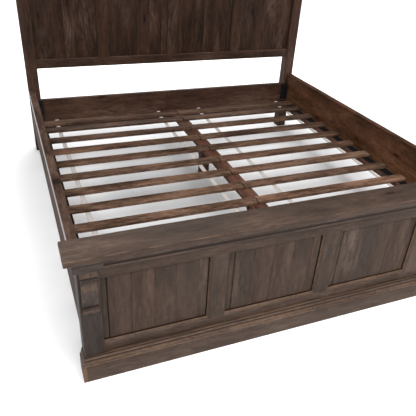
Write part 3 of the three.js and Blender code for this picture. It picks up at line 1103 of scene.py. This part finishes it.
@dataclass
class Panelling:
    """The boards, stiles and rails between an end's two posts."""

    end: str
    wood: Finish
    boards: Finish
    first_joint: float = 0.025
    board_width: float = 0.088
    vee: Pair = (0.0009, 0.0012)
    deep_vee: Pair = (0.0030, 0.0052)
    chamfer: float = 0.010
    wall: float = 0.003
    step: float = 0.0005
    gap: float = 0.00015
    tones: Sequence[float] = ()
    stile_wood: Finish | None = None
    # width of the painted shade strips in the panels' corners, or 0 for none
    quirk: float = 0.0

    def boxes(self, *parts: str) -> list[tuple[Vector, Vector]]:
        """The boxes of this end's nodes."""
        return [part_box(f"{self.end}_{part}") for part in parts]

    def spans(self, low: float, high: float) -> list[Pair]:
        """Where each opening starts and stops, between these two sides."""
        stiles = self.boxes(*STILES)
        return list(zip([low, *[box[1].x for box in stiles]], [*[box[0].x for box in stiles], high]))

    def joints(self, low: float, high: float) -> list[tuple[float, Pair]]:
        """Where the boards meet, from one side of the panel to the other, with the size of each vee.

        Args:
            low: The panel's left side.
            high: Its right side.

        Returns:
            Each place with its vee.
        """
        places = [(low, self.vee)]
        for start, stop in self.spans(low, high):
            place, size = start + self.first_joint, self.deep_vee
            while place < stop - 2 * self.deep_vee[0]:
                places.append((place, size))
                place, size = place + self.board_width, self.vee
        return [*places, (high, self.vee)]

    def panel(self) -> None:
        """The upright boards, each with its own tone and a small step from its neighbour."""
        low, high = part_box(f"{self.end}_panel")
        piece = Piece(f"{self.end}_panel_boards")
        joints = self.joints(low.x, high.x)
        for number, ((start, first), (stop, last)) in enumerate(zip(joints, joints[1:])):
            left, right = start + self.gap, stop - self.gap
            front = low.y + self.step * TONES.random()
            outline = [(left, high.y), (left, front + first[1]), (left + first[0], front), (right - last[0], front)]
            outline += [(right, front + last[1]), (right, high.y)]
            tone = self.tones[number % len(self.tones)] if self.tones else None
            piece.extrusion(outline, Axis.UPRIGHT, (low.z, high.z), Axis.UPRIGHT, tone=tone)
        piece.fit(self.boards, f"{self.end}_panel")

    def quirks(self) -> None:
        """Painted shade: near-black strips in the corners where the panels meet the stiles and rails, standing for the
        shade there.
        """
        panel, left_post, right_post = self.boxes("panel", "post_left", "post_right")
        base, head = self.boxes("bottom_rail", "top_rail")
        front, bottom, top = panel[0].y, base[1].z, head[0].z
        piece = Piece(f"{self.end}_panel_quirks")
        proud, wide = self.quirk * 0.4, self.quirk
        for start, stop in self.spans(left_post[1].x, right_post[0].x):
            for left in (start + self.gap, stop - wide - self.gap):
                low = (left, front - proud, bottom + self.gap)
                piece.board(low, (left + wide, front - self.gap, top - self.gap), Axis.UPRIGHT, 0.0004)
            for floor in (bottom + self.gap, top - wide - self.gap):
                low = (start + wide + 2 * self.gap, front - proud, floor)
                piece.board(low, (stop - wide - 2 * self.gap, front - self.gap, floor + wide), Axis.ACROSS, 0.0004)
        piece.fit(SHADE_STRIP_WOOD)

    def bars(self) -> None:
        """The stiles and the two rails, chamfered round each opening."""
        cut, wall = self.chamfer, self.wall
        for part, (low, high) in zip(STILES, self.boxes(*STILES)):
            outline = [(low.x, high.y), (low.x, low.y + cut + wall), (low.x, low.y + cut), (low.x + cut, low.y)]
            outline += [(high.x - cut, low.y), (high.x, low.y + cut), (high.x, low.y + cut + wall), (high.x, high.y)]
            self.bar(part, outline, Axis.UPRIGHT, (low.z - cut, high.z + cut), (2, 5), (1, 6), self.stile_wood)
        for part, sign in (("top_rail", 1), ("bottom_rail", -1)):
            ((low, high),) = self.boxes(part)
            outer, inner = (high.z, low.z)[::sign]
            outline = [(low.y, outer), (high.y, outer), (high.y, inner), (low.y + cut + wall, inner)]
            outline += [(low.y + cut, inner), (low.y, inner + sign * cut)]
            self.bar(part, outline, Axis.ACROSS, (low.x, high.x), (4,), (3,))

    def bar(
        self,
        part: str,
        outline: Sequence[Pair],
        run: Axis,
        ends: Pair,
        crests: Iterable[int],
        creases: Iterable[int],
        wood: Finish | None = None,
    ) -> None:
        """One bar in place of its node.

        Args:
            part: What the node is called after its end's name.
            outline: The bar's section.
            run: The way that it and its grain run.
            ends: Where it starts and stops.
            crests: Which points of the section wear shows on.
            creases: Which points painted shade darkens, as in a corner.
            wood: Its finish, or nothing for the end's own.
        """
        node = f"{self.end}_{part}"
        piece = Piece(node + "_bar")
        piece.extrusion(outline, run, ends, run, crests=crests, creases=creases)
        piece.fit(wood or self.wood, node)

    def build(self) -> None:
        """Makes and dresses all of it."""
        self.panel()
        self.bars()
        if self.quirk:
            self.quirks()


@dataclass
class Surround:
    """A moulding round an end's front and both posts' sides, mitred at the corners.

    Profiles are lists of distance out from the posts and height, from the bottom up.
    """

    front_profile: Sequence[Pair]
    side_profile: Sequence[Pair]
    half: float
    front: float
    back: float
    seat: float = CLEARANCE
    steps: int = 24
    back_depth: float = 0.0096
    crests: Sequence[int] = ()
    creases: Sequence[int] = ()

    def ring(self, profile: Sequence[Pair]) -> list[Pair]:
        """The profile closed along the posts."""
        return [(self.seat, profile[0][1]), *profile, (self.seat, profile[-1][1])]

    def add_front(self, piece: Piece, limit: float | None = None) -> None:
        """Adds the front run.

        Args:
            piece: The mesh that it goes into.
            limit: Half the run's length where its ends are square, or nothing for mitres.
        """
        front, side = self.ring(self.front_profile), self.ring(self.side_profile)
        reach = limit or self.half
        loops = []
        for k in range(self.steps + 1):
            share = -1 + 2 * k / self.steps
            ends = [reach + (s[0] if limit is None else 0.0) for s in side]
            loops.append([Vector((share * e, self.front - f[0], f[1])) for e, f in zip(ends, front)])
        low = (-reach, self.front - max(f[0] for f in front), front[0][1])
        piece.solid(loops, stock(low, (reach, self.front, front[-1][1]), Axis.ACROSS), self.crests, self.creases)

    def add_side(self, piece: Piece, side: Side, start: float | None = None) -> None:
        """Adds the run along one post's side.

        Args:
            piece: The mesh that it goes into.
            side: Which side.
            start: Where a square end starts, or nothing for a mitre.
        """
        front, profile = self.ring(self.front_profile), self.ring(self.side_profile)
        sign = side.value
        begin = [self.front - f[0] if start is None else start for f in front]
        loops = []
        for share in (0.0, 0.5, 1.0):
            loops.append(
                [Vector((sign * (self.half + p[0]), b + (self.back - b) * share, p[1])) for p, b in zip(profile, begin)]
            )
        out = self.half + max(p[0] for p in profile)
        low = (min(sign * self.half, sign * out), min(begin), profile[0][1])
        high = (max(sign * self.half, sign * out), self.back, profile[-1][1])
        piece.solid(loops, stock(low, high, Axis.LENGTHWISE), self.crests, self.creases)

    def add_all(self, piece: Piece, inner: float, ease: float, limit: float | None = None) -> None:
        """Adds the front run, both returns, and the board behind the front between the posts.

        Args:
            piece: The mesh that they go into.
            inner: How far the posts' inner faces are from the middle.
            ease: Radius of the board's arrises.
            limit: Half the front run's length where its ends are square, or nothing for mitres.
        """
        self.add_front(piece, limit)
        for side in Side:
            self.add_side(piece, side, None if limit is None else self.front + 0.0002)
        bottom, top = self.front_profile[0][1], self.front_profile[-1][1]
        reach = inner - 0.0004
        low, high = (-reach, self.front - 0.0001, bottom), (reach, self.front + self.back_depth, top)
        piece.board(low, high, Axis.ACROSS, ease)


def crown_profile(bottom: float, top: float) -> list[Pair]:
    """The crown moulding's section: a small groove, a cove and a square fillet under the cap.

    Args:
        bottom: Where it starts.
        top: Where it stops.

    Returns:
        Its points, from the bottom up.
    """
    rise = top - bottom
    points = [(0.0060, bottom), (0.0078, bottom + 0.0018), (0.0080, bottom + rise * 0.16)]
    for k in range(7):
        angle = k / 6 * math.pi / 2
        points.append((0.0080 + 0.0062 * (1 - math.cos(angle)), bottom + rise * (0.20 + 0.44 * math.sin(angle))))
    points += [(0.0160, bottom + rise * 0.68), (0.0160, top - 0.0010), (0.0150, top)]
    return points


@dataclass
class PanelledEnd:
    """What both ends of the bed have: two posts, panelling, a crown moulding and a cap."""

    panelling: Panelling
    post_wood: Finish
    crown_wood: Finish
    post_ease: float
    cap_ease: float = 0.0032
    back_ease: float = 0.001

    def __post_init__(self) -> None:
        """Reads the places that the other pieces are set from."""
        self.end = self.panelling.end
        self.post_low, self.post_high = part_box(f"{self.end}_post_right")
        self.crown_low, self.crown_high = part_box(f"{self.end}_crown")

    def posts(self) -> None:
        """Both posts, down to the floor."""
        for side in Side:
            node = f"{self.end}_post_{side.word}"
            timber(node + "_timber", *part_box(node), Axis.UPRIGHT, self.post_ease, self.post_wood, node)

    def cap(self) -> None:
        """The plank on top."""
        node = f"{self.end}_cap"
        timber(node + "_plank", *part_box(node), Axis.ACROSS, self.cap_ease, CAP_WOOD, node)

    def crown(self, limit: float | None = None) -> None:
        """The crown moulding under the cap.

        Args:
            limit: Half the front run's length where its ends are square, or nothing for mitres.
        """
        profile = crown_profile(self.crown_low.z, self.crown_high.z)
        places = (self.post_high.x, self.post_low.y, self.crown_high.y)
        piece = Piece(f"{self.end}_crown_moulding")
        ring = Surround(profile, profile, *places, crests=CROWN_CRESTS, creases=CROWN_CREASES)
        ring.add_all(piece, self.post_low.x, self.back_ease, limit)
        piece.fit(self.crown_wood, f"{self.end}_crown", smooth=SOFT)


@dataclass
class Footboard(PanelledEnd):
    """The low panelled end with its cap, crown, corbels and plinth."""

    panelling: Panelling = field(
        default_factory=lambda: Panelling("foot", FOOT_WOOD, PANEL_WOOD, tones=FOOT_TONES, quirk=0.0036)
    )
    post_wood: Finish = FOOT_POST_WOOD
    crown_wood: Finish = CROWN_WOOD
    post_ease: float = 0.0030
    block_inner: float = 0.946
    block_front: float = 0.035
    block_ease: float = 0.0024
    skirting_top: float = 0.084

    def blocks(self) -> None:
        """The square blocks over the corbels, where the crown breaks forward."""
        piece = Piece("foot_corbel_blocks")
        front, bottom = self.post_low.y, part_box("foot_corbel_right")[1].z + CLEARANCE
        for side in Side:
            ends = sorted((side.value * self.block_inner, side.value * self.crown_high.x))
            low, high = (ends[0], front - self.block_front, bottom), (ends[1], front - CLEARANCE, self.crown_high.z)
            piece.board(low, high, Axis.ACROSS, self.block_ease)
        piece.fit(FOOT_POST_WOOD)

    def corbel_outline(self) -> list[Pair]:
        """The corbel's side: a square head, a deep cove, a full belly, a tuck and a lip.

        Returns:
            Its points in Y and Z.
        """
        low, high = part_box("foot_corbel_right")
        front, back, top, bottom = low.y, high.y, high.z, low.z
        points = [(back, bottom), (back, top), (front, top), (front, top - 0.0235), (front + 0.0015, top - 0.0250)]
        cove = [(0.0015, 0.0250), (0.0120, 0.0270), (0.0200, 0.0360), (0.0200, 0.0590)]
        belly = [(0.0200, 0.0590), (0.0030, 0.0700), (0.0010, 0.1080), (0.0160, 0.1370)]
        tuck = [(0.0160, 0.1370), (0.0230, 0.1500), (0.0255, 0.1640), (0.0255, 0.1790)]
        for curve, count in ((cove, 6), (belly, 10), (tuck, 6)):
            for k in range(1, count + 1):
                t = k / count
                parts = [(1 - t) ** 3, 3 * t * (1 - t) ** 2, 3 * t * t * (1 - t), t**3]
                out = sum(w * p[0] for w, p in zip(parts, curve))
                down = sum(w * p[1] for w, p in zip(parts, curve))
                points.append((front + out, top - down))
        points += [(front + 0.0170, bottom + 0.0180), (front + 0.0160, bottom + 0.0165)]
        points += [(front + 0.0160, bottom + 0.0060), (front + 0.0220, bottom)]
        return points

    def corbels(self) -> None:
        """The two scrolled corbels."""
        outline = self.corbel_outline()
        for side in Side:
            node = f"foot_corbel_{side.word}"
            low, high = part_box(node)
            piece = Piece(node + "_scroll")
            crests = [2, 3, 12, 13, 14, len(outline) - 3, len(outline) - 2]
            piece.extrusion(outline, Axis.ACROSS, (low.x, high.x), Axis.UPRIGHT, 0.0014, crests, (8, 25), step=0.012)
            piece.fit(FOOT_POST_WOOD, node, smooth=28.0)

    def plinth(self) -> None:
        """The skirting with its stepped, rounded top, mitred at the corners."""
        low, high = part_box("foot_plinth")
        front, base = self.post_low.y, self.skirting_top
        rise = high.z - base
        moulding = [(0.64, 0.28), (0.50, 0.42), (0.45, 0.55), (0.44, 0.66), (0.36, 0.72), (0.30, 0.88)]
        steps = [(1.0, 0.0), (1.0, 0.080), (0.97, 0.0825), (0.80, 0.0850)]
        steps += [*((out, base + rise * up) for out, up in moulding), (0.20, high.z)]
        first = [((front - low.y) * share, z) for share, z in steps]
        second = [((high.x - self.post_high.x) * share, z) for share, z in steps]
        ring = Surround(first, second, self.post_high.x, front, high.y, crests=(3, 5, 9), creases=(7, 11))
        piece = Piece("foot_plinth_skirting")
        ring.add_all(piece, self.post_low.x, 0.0015)
        piece.fit(CROWN_WOOD, "foot_plinth", smooth=SOFT)

    def ledger(self) -> None:
        """The bar inside that carries the beam's foot end, with its screws."""
        low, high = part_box("foot_ledger")
        timber("foot_ledger_bar", low, high, Axis.ACROSS, 0.0025, BEAM_WOOD, "foot_ledger")
        margin, count = 0.08, 10
        xs = [low.x + margin + (high.x - low.x - 2 * margin) * k / (count - 1) for k in range(count)]
        spots = [((x, high.y, (low.z + high.z) / 2), BACKWARDS) for x in xs]
        PAN_SCREW.place("foot_ledger_screws", spots)

    def build(self) -> None:
        """Makes and dresses the footboard."""
        self.posts()
        self.panelling.build()
        self.crown(self.block_inner - 0.0002)
        self.blocks()
        self.corbels()
        self.plinth()
        self.cap()
        self.ledger()


@dataclass
class Headboard(PanelledEnd):
    """The tall panelled end, with a low plank at mattress height."""

    panelling: Panelling = field(
        default_factory=lambda: Panelling(
            "head", HEAD_WOOD, HEAD_PANEL_WOOD, vee=HEAD_VEE, deep_vee=HEAD_VEE, chamfer=0.006,
            stile_wood=HEAD_STILE_WOOD,
        )
    )
    post_wood: Finish = HEAD_WOOD
    crown_wood: Finish = HEAD_WOOD
    post_ease: float = 0.0028
    screw_heights: Triple = (0.035, 0.100, 0.165)

    def plank(self) -> None:
        """The low plank, screwed to cleats behind."""
        low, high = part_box("head_plank")
        timber("head_plank_board", low, high, Axis.ACROSS, 0.0026, HEAD_WOOD, "head_plank")
        spots = []
        for x in (low.x + 0.03, high.x - 0.03):
            spots += [((x, high.y, low.z + h), BACKWARDS) for h in self.screw_heights]
        PAN_SCREW.place("head_plank_screws", spots)

    def build(self) -> None:
        """Makes and dresses the headboard."""
        self.posts()
        self.panelling.build()
        self.cap()
        self.crown()
        self.plank()


# ---------------------------------------------------------------- sides and centre


@dataclass
class SideRails:
    """The two deep rails, their outer bands, the slat cleats and the corner brackets."""

    ease: float = 0.0040
    band_bottom: float = 0.406
    band_thickness: float = 0.0020
    band_ease: float = 0.0016
    felt: float = 0.0018
    felt_width: float = 0.052
    screw_pitch: float = 0.16
    plate: float = 0.003
    bend: float = 0.0012
    hole_margin: float = 0.022

    def rail(self, side: Side) -> None:
        """One rail and the band along its outer face.

        Args:
            side: Which side.
        """
        node = f"side_rail_{side.word}"
        low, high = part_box(node)
        box = [low.copy(), high.copy()]
        if side is Side.LEFT:
            box[0].x += self.band_thickness
        else:
            box[1].x -= self.band_thickness
        timber(node + "_timber", *box, Axis.LENGTHWISE, self.ease, RAIL_WOODS[side], node)
        outer = max(abs(low.x), abs(high.x))
        inner, ease = outer - self.band_thickness + 0.0001, self.band_ease
        bottom, top = self.band_bottom, high.z - self.ease
        outline = [(inner, bottom), (outer - 0.0002, bottom + 0.0012), (outer, bottom + 0.0030)]
        outline += [(outer, top - ease), (outer - ease, top), (inner, top)]
        band = Piece(f"side_band_{side.word}")
        shape = [(side.value * x, z) for x, z in outline]
        band.extrusion(shape, Axis.LENGTHWISE, (low.y + 0.0002, high.y - 0.0002), Axis.LENGTHWISE, crests=(3, 4))
        band.fit(BAND_WOOD)

    def cleat(self, side: Side) -> None:
        """One cleat, its felt strip and its screws.

        Args:
            side: Which side.
        """
        node = f"cleat_{side.word}"
        low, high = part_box(node)
        top = (high.x, high.y, high.z - self.felt - 0.0002)
        timber(node + "_timber", low, top, Axis.LENGTHWISE, 0.0020, BEAM_WOOD, node)
        strip = Piece(f"felt_strip_{side.word}")
        edge, outer = sorted((abs(low.x), abs(high.x)))
        xs = sorted((side.value * (edge + 0.0005), side.value * min(edge + self.felt_width, outer - 0.001)))
        start, stop = low.y + 0.004, high.y - 0.004
        strip.board((xs[0], start, high.z - self.felt), (xs[1], stop, high.z), Axis.LENGTHWISE, 0.0005)
        strip.fit(FELT)
        inner = low.x if side is Side.RIGHT else high.x
        count = int((high.y - low.y - 0.1) / self.screw_pitch)
        ys = [low.y + 0.05 + self.screw_pitch * k for k in range(count + 1)]
        middle = (low.z + high.z) / 2
        spots = [((inner, y, middle), (-float(side.value), 0.0, 0.0)) for y in ys]
        PAN_SCREW.place(f"cleat_screws_{side.word}", spots)

    def bracket(self, end: str, side: Side) -> None:
        """One corner angle with its bolts and screws.

        Args:
            end: The end that it is bolted to.
            side: Which side.
        """
        node = f"bracket_{end}_{side.word}"
        low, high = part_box(node)
        sign = side.value
        inward = -1 if end == "head" else 1
        face = low.y if inward > 0 else high.y
        rail = high.x if sign > 0 else -low.x
        plate, bend = self.plate, self.bend
        reach, flange = high.x - low.x, high.y - low.y
        outline = [(rail - reach, 0.0), (rail - bend, 0.0), (rail, bend), (rail, flange), (rail - plate, flange)]
        outline += [(rail - plate, plate + 0.001), (rail - plate - 0.001, plate), (rail - reach, plate)]
        shape = [(sign * x, face + inward * y) for x, y in outline]
        piece = Piece(node + "_angle")
        piece.extrusion(shape, Axis.UPRIGHT, (low.z, high.z), Axis.UPRIGHT, 0.0006)
        piece.fit(STEEL, node)
        heights = [low.z + self.hole_margin, (low.z + high.z) / 2, high.z - self.hole_margin]
        way = (0.0, float(inward), 0.0)
        post = [((sign * (rail - reach * 0.62), face + inward * plate, z), way) for z in heights]
        HEX_BOLT.place(f"bolts_{end}_{side.word}", [post[0], post[2]])
        across = (-float(sign), 0.0, 0.0)
        spots = [((sign * (rail - plate), face + inward * flange * 0.62, z), across) for z in heights]
        PAN_SCREW.place(f"bracket_screws_{end}_{side.word}", [post[1], *spots])

    def build(self) -> None:
        """Makes and dresses both sides."""
        for side in Side:
            self.rail(side)
            self.cleat(side)
            for end in ("head", "foot"):
                self.bracket(end, side)


@dataclass
class CentreSupport:
    """The beam under the slats' inner ends, its legs, braces, block and steel angles."""

    ease: float = 0.0030
    foot_height: float = 0.014
    block_half: float = 0.090
    block_depth: float = 0.032
    block_drop: float = 0.055
    plate: float = 0.0025
    flange: float = 0.055
    drop: float = 0.045
    bracket_half: float = 0.022

    def beam(self) -> None:
        """The beam, stopped at the head block."""
        low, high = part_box("centre_beam")
        stop = high.y - self.block_depth - 0.001
        timber("centre_beam_timber", low, (high.x, stop, high.z), Axis.LENGTHWISE, self.ease, BEAM_WOOD, "centre_beam")
        bottom = (-self.block_half, high.y - self.block_depth, low.z - self.block_drop)
        top = (self.block_half, high.y - CLEARANCE, high.z + 2 * CLEARANCE)
        timber("head_block", bottom, top, Axis.ACROSS, 0.0024, BLOCK_WOOD)

    def brackets(self) -> None:
        """A folded steel angle under each end of the beam."""
        low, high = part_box("centre_beam")
        under, plate, reach, drop = low.z - CLEARANCE, self.plate, self.flange, self.drop
        outline = [(0.0, 0.0), (reach, 0.0), (reach, -plate), (plate, -plate), (plate, -drop), (0.0, -drop)]
        ledger_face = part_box("foot_ledger")[1].y
        for end, face, way in (("head", high.y - self.block_depth - 0.0002, -1), ("foot", ledger_face + 0.0002, 1)):
            shape = [(face + way * y, under + z) for y, z in outline]
            piece = Piece(f"beam_bracket_{end}")
            piece.extrusion(shape, Axis.ACROSS, (-self.bracket_half, self.bracket_half), Axis.ACROSS, 0.0004)
            piece.fit(STEEL)
            spots = []
            for x in (-self.bracket_half * 0.5, self.bracket_half * 0.5):
                spots.append(((x, face + way * plate, under - drop * 0.65), (0.0, float(way), 0.0)))
                spots.append(((x, face + way * reach * 0.65, under - plate), (0.0, 0.0, -1.0)))
            PAN_SCREW.place(f"beam_bracket_screws_{end}", spots)

    def legs(self) -> None:
        """The two legs, each on an adjuster, with a diagonal brace up to the beam."""
        spots = []
        for end in ("foot", "head"):
            node = f"centre_leg_{end}"
            low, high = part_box(node)
            timber(node + "_timber", (low.x, low.y, self.foot_height), high, Axis.UPRIGHT, 0.0025, BEAM_WOOD, node)
            middle = (low + high) / 2
            spots.append(((middle.x, middle.y, 0.0), (0.0, 0.0, 1.0)))
            self.brace(end, high)
        ADJUSTER.place("centre_leg_adjusters", spots)

    def brace(self, end: str, high: Vector) -> None:
        """A slanted strut from the leg's side up to the beam's underside.

        Args:
            end: The end that its leg is nearer to.
            high: The leg's highest corner.
        """
        piece = Piece(f"centre_brace_{end}")
        top, bottom = high.z - 0.0005, high.z - 0.120
        run, thick, half = 0.110, 0.020, 0.016
        start = high.y + 0.0005
        outline = [(start, bottom), (start + run, top)]
        outline += [(start + run - thick * 1.45, top), (start, bottom + thick * 1.6)]
        piece.extrusion(outline, Axis.ACROSS, (-half, half), Axis.LENGTHWISE, 0.0012)
        piece.fit(BEAM_WOOD)

    def build(self) -> None:
        """Makes and dresses the centre support."""
        self.beam()
        self.brackets()
        self.legs()


# ---------------------------------------------------------------- slat sets


@dataclass
class SlatSet:
    """Twelve slats on two webbing tapes, which lift out as one."""

    side: Side
    tape_places: Pair
    count: int = 12
    ease: float = 0.0024
    tape_width: float = 0.026
    tape_thickness: float = 0.0011
    sag: float = 0.0045

    def __post_init__(self) -> None:
        """Reads where the slats lie."""
        self.body = Body(f"slats_{self.side.word}")
        self.nodes = [f"slat_{self.side.word}_{k:02d}" for k in range(1, self.count + 1)]
        self.boxes = [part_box(node) for node in self.nodes]

    def slats(self) -> None:
        """The run of slats."""
        low, high = self.boxes[0]
        middles = [(b[0].y + b[1].y) / 2 for b in self.boxes]
        half = (high.y - low.y) / 2
        pattern = Piece("slat_pattern")
        pattern.board((low.x, -half, low.z), (high.x, half, high.z - 0.0006), Axis.ACROSS, self.ease, 0.8)
        slat = pattern.build(SLAT_WOOD)
        slat.data.attributes.remove(slat.data.attributes["board"])  # each copy is given its own
        host = in_scene("slat_host", bpy.data.meshes.new("slat_host"))
        values = {
            "Slat": slat, "Count": self.count, "First Middle": middles[0], "Second Middle": middles[1],
            "Pitch": middles[1] - middles[2], "Skew": 0.0011, "Lift": 0.0006, "Seed": SEED + self.side.value,
            "Finish": SLAT_WOOD.material(),
        }
        made = slat_maker().run(host, values, f"slat_run_{self.side.word}")
        bpy.data.objects.remove(slat)
        dress(made, SLAT_WOOD, self.body, self.nodes)

    def tape_path(self) -> list[Pair]:
        """The tape's centre line in Y and Z: flat under each slat, sagging between them.

        Returns:
            Its points, from the headboard on.
        """
        level = self.boxes[0][0].z - 0.0003 - self.tape_thickness / 2
        back, top = self.boxes[0][1].y, self.boxes[0][1].z
        path = [(back + 0.013, top - 0.0012), (back + 0.006, top - 0.0016), (back + 0.0022, top - 0.0050)]
        path += [(back + 0.0014, level + 0.006), (back - 0.0002, level + 0.0008)]
        for number, (low, high) in enumerate(self.boxes):
            path += [(high.y - 0.002, level), ((low.y + high.y) / 2, level), (low.y + 0.002, level)]
            if number + 1 < len(self.boxes):
                span = low.y - self.boxes[number + 1][1].y
                deep = self.sag * min(1.0, span / 0.116)
                for share in (0.2, 0.4, 0.6, 0.8):
                    path.append((low.y - span * share, level - deep * 4 * share * (1 - share)))
        last = self.boxes[-1][0].y
        return [*path, (last - 0.008, level - 0.0012), (last - 0.020, level - 0.0070)]

    def tapes(self) -> None:
        """Both tapes, and the staples that hold them under the slats."""
        path = self.tape_path()
        spots = []
        piece = Piece(f"webbing_{self.side.word}")
        for number, x in enumerate(self.tape_places):
            half, thick = self.tape_width / 2, self.tape_thickness / 2
            loops = []
            for y, z in path:
                drift = 0.0012 * wobble(0.3 + number * 0.4, y, 2.0)
                ring = [(-half, -thick * 0.5), (-half * 0.97, -thick), (half * 0.97, -thick), (half, -thick * 0.5)]
                ring += [(half, thick * 0.5), (half * 0.97, thick), (-half * 0.97, thick), (-half, thick * 0.5)]
                loops.append([Vector((x + drift + a, y, z + c)) for a, c in ring])
            ys, zs = [p[0] for p in path], [p[1] for p in path]
            box = stock((x - half, min(ys), min(zs)), (x + half, max(ys), max(zs)), Axis.LENGTHWISE)
            piece.solid(loops, box)
            for low, high in self.boxes:
                middle = (low.y + high.y) / 2
                for dx, dy in ((-0.006, -0.012), (0.006, 0.012)):
                    spots.append(((x + dx, middle + dy, low.z - 0.0015), (0, 0, -1)))
        piece.fit(TAPE, body=self.body, smooth=30.0)
        STAPLE.place(f"webbing_staples_{self.side.word}", spots, self.body)

    def build(self) -> None:
        """Makes and dresses the set."""
        self.slats()
        self.tapes()


STAPLE = Fixing("staple", 0.0035, [(0.0035, 0.0), (0.0035, 0.0005), (0.0030, 0.0009)], 8, 0.0, ZINC)


# ---------------------------------------------------------------- studio


@dataclass
class Studio:
    """The floor, the soft light and the camera."""

    spot: Triple = (-1.1464, -2.4332, 1.5758)
    yaw: float = 23.2253
    pitch: float = 31.2105
    roll: float = -3.5486
    lens: float = 42.72
    floor_half: float = 30.0
    sky: float = 0.36
    backdrop: float = 0.98

    def camera(self) -> None:
        """A level-headed view from the bed's near left corner."""
        yaw, pitch, roll = (math.radians(a) for a in (self.yaw, self.pitch, self.roll))
        ahead = Vector((math.sin(yaw) * math.cos(pitch), math.cos(yaw) * math.cos(pitch), -math.sin(pitch)))
        right = Vector((math.cos(yaw), -math.sin(yaw), 0.0))
        down = ahead.cross(right)
        across = math.cos(roll) * right + math.sin(roll) * down
        below = -math.sin(roll) * right + math.cos(roll) * down
        data = bpy.data.cameras.new("camera")
        data.sensor_width, data.lens = 36.0, self.lens
        data.clip_end = 200.0
        made = in_scene("camera", data)
        turn = Matrix((across, -below, -ahead)).transposed().to_4x4()
        made.matrix_world = Matrix.Translation(self.spot) @ turn
        bpy.context.scene.camera = made

    def floor(self) -> None:
        """A plain pale floor, much wider than the view."""
        size = self.floor_half
        mesh = bpy.data.meshes.new("floor")
        mesh.from_pydata([(-size, -size, 0), (size, -size, 0), (size, size, 0), (-size, size, 0)], [], [(0, 1, 2, 3)])
        mesh.materials.append(FLOOR.material())
        in_scene("floor", mesh)

    def light(self, name: str, spot: Triple, aim: Triple, size: Pair, power: float) -> None:
        """One soft box.

        Args:
            name: Its name.
            spot: Where it hangs.
            aim: What it points at.
            size: Its width and height.
            power: Its power in watts.
        """
        data = bpy.data.lights.new(name, "AREA")
        data.shape = "RECTANGLE"
        data.size, data.size_y = size
        data.energy = power
        made = in_scene(name, data)
        made.location = spot
        made.rotation_euler = (Vector(aim) - Vector(spot)).to_track_quat("-Z", "Y").to_euler()

    def build(self) -> None:
        """Sets the studio up."""
        scene = bpy.context.scene
        scene.view_settings.view_transform = "Standard"
        world = bpy.data.worlds.new("studio")
        world.use_nodes = True
        bench = Wiring(world.node_tree)
        seen = bench.node("ShaderNodeLightPath", output="Is Camera Ray")
        strength = seen * (self.backdrop - self.sky) + self.sky
        sky = bench.node("ShaderNodeBackground", None, {"Color": (1.0, 1.0, 1.0, 1.0), "Strength": strength})
        bench.node("ShaderNodeOutputWorld", None, {"Surface": sky})
        scene.world = world
        self.floor()
        self.light("key", (-0.15, -2.7, 4.0), (0.0, -0.3, 0.2), (5.5, 3.6), 430.0)
        self.light("rear", (0.0, 3.4, 2.6), (0.0, 2.2, 0.0), (4.5, 1.5), 112.0)
        self.camera()


def main() -> None:
    """Builds the bed."""
    logging.basicConfig(level=logging.INFO, format="%(message)s")
    Studio().build()
    parts: list[Any] = [Headboard(), Footboard(), SideRails(), CentreSupport()]
    parts += [SlatSet(Side.LEFT, (-0.873, -0.136)), SlatSet(Side.RIGHT, (0.185, 0.860))]
    for part in parts:
        LOG.info("building %s", type(part).__name__)
        part.build()


if __name__ == "__main__":
    main()
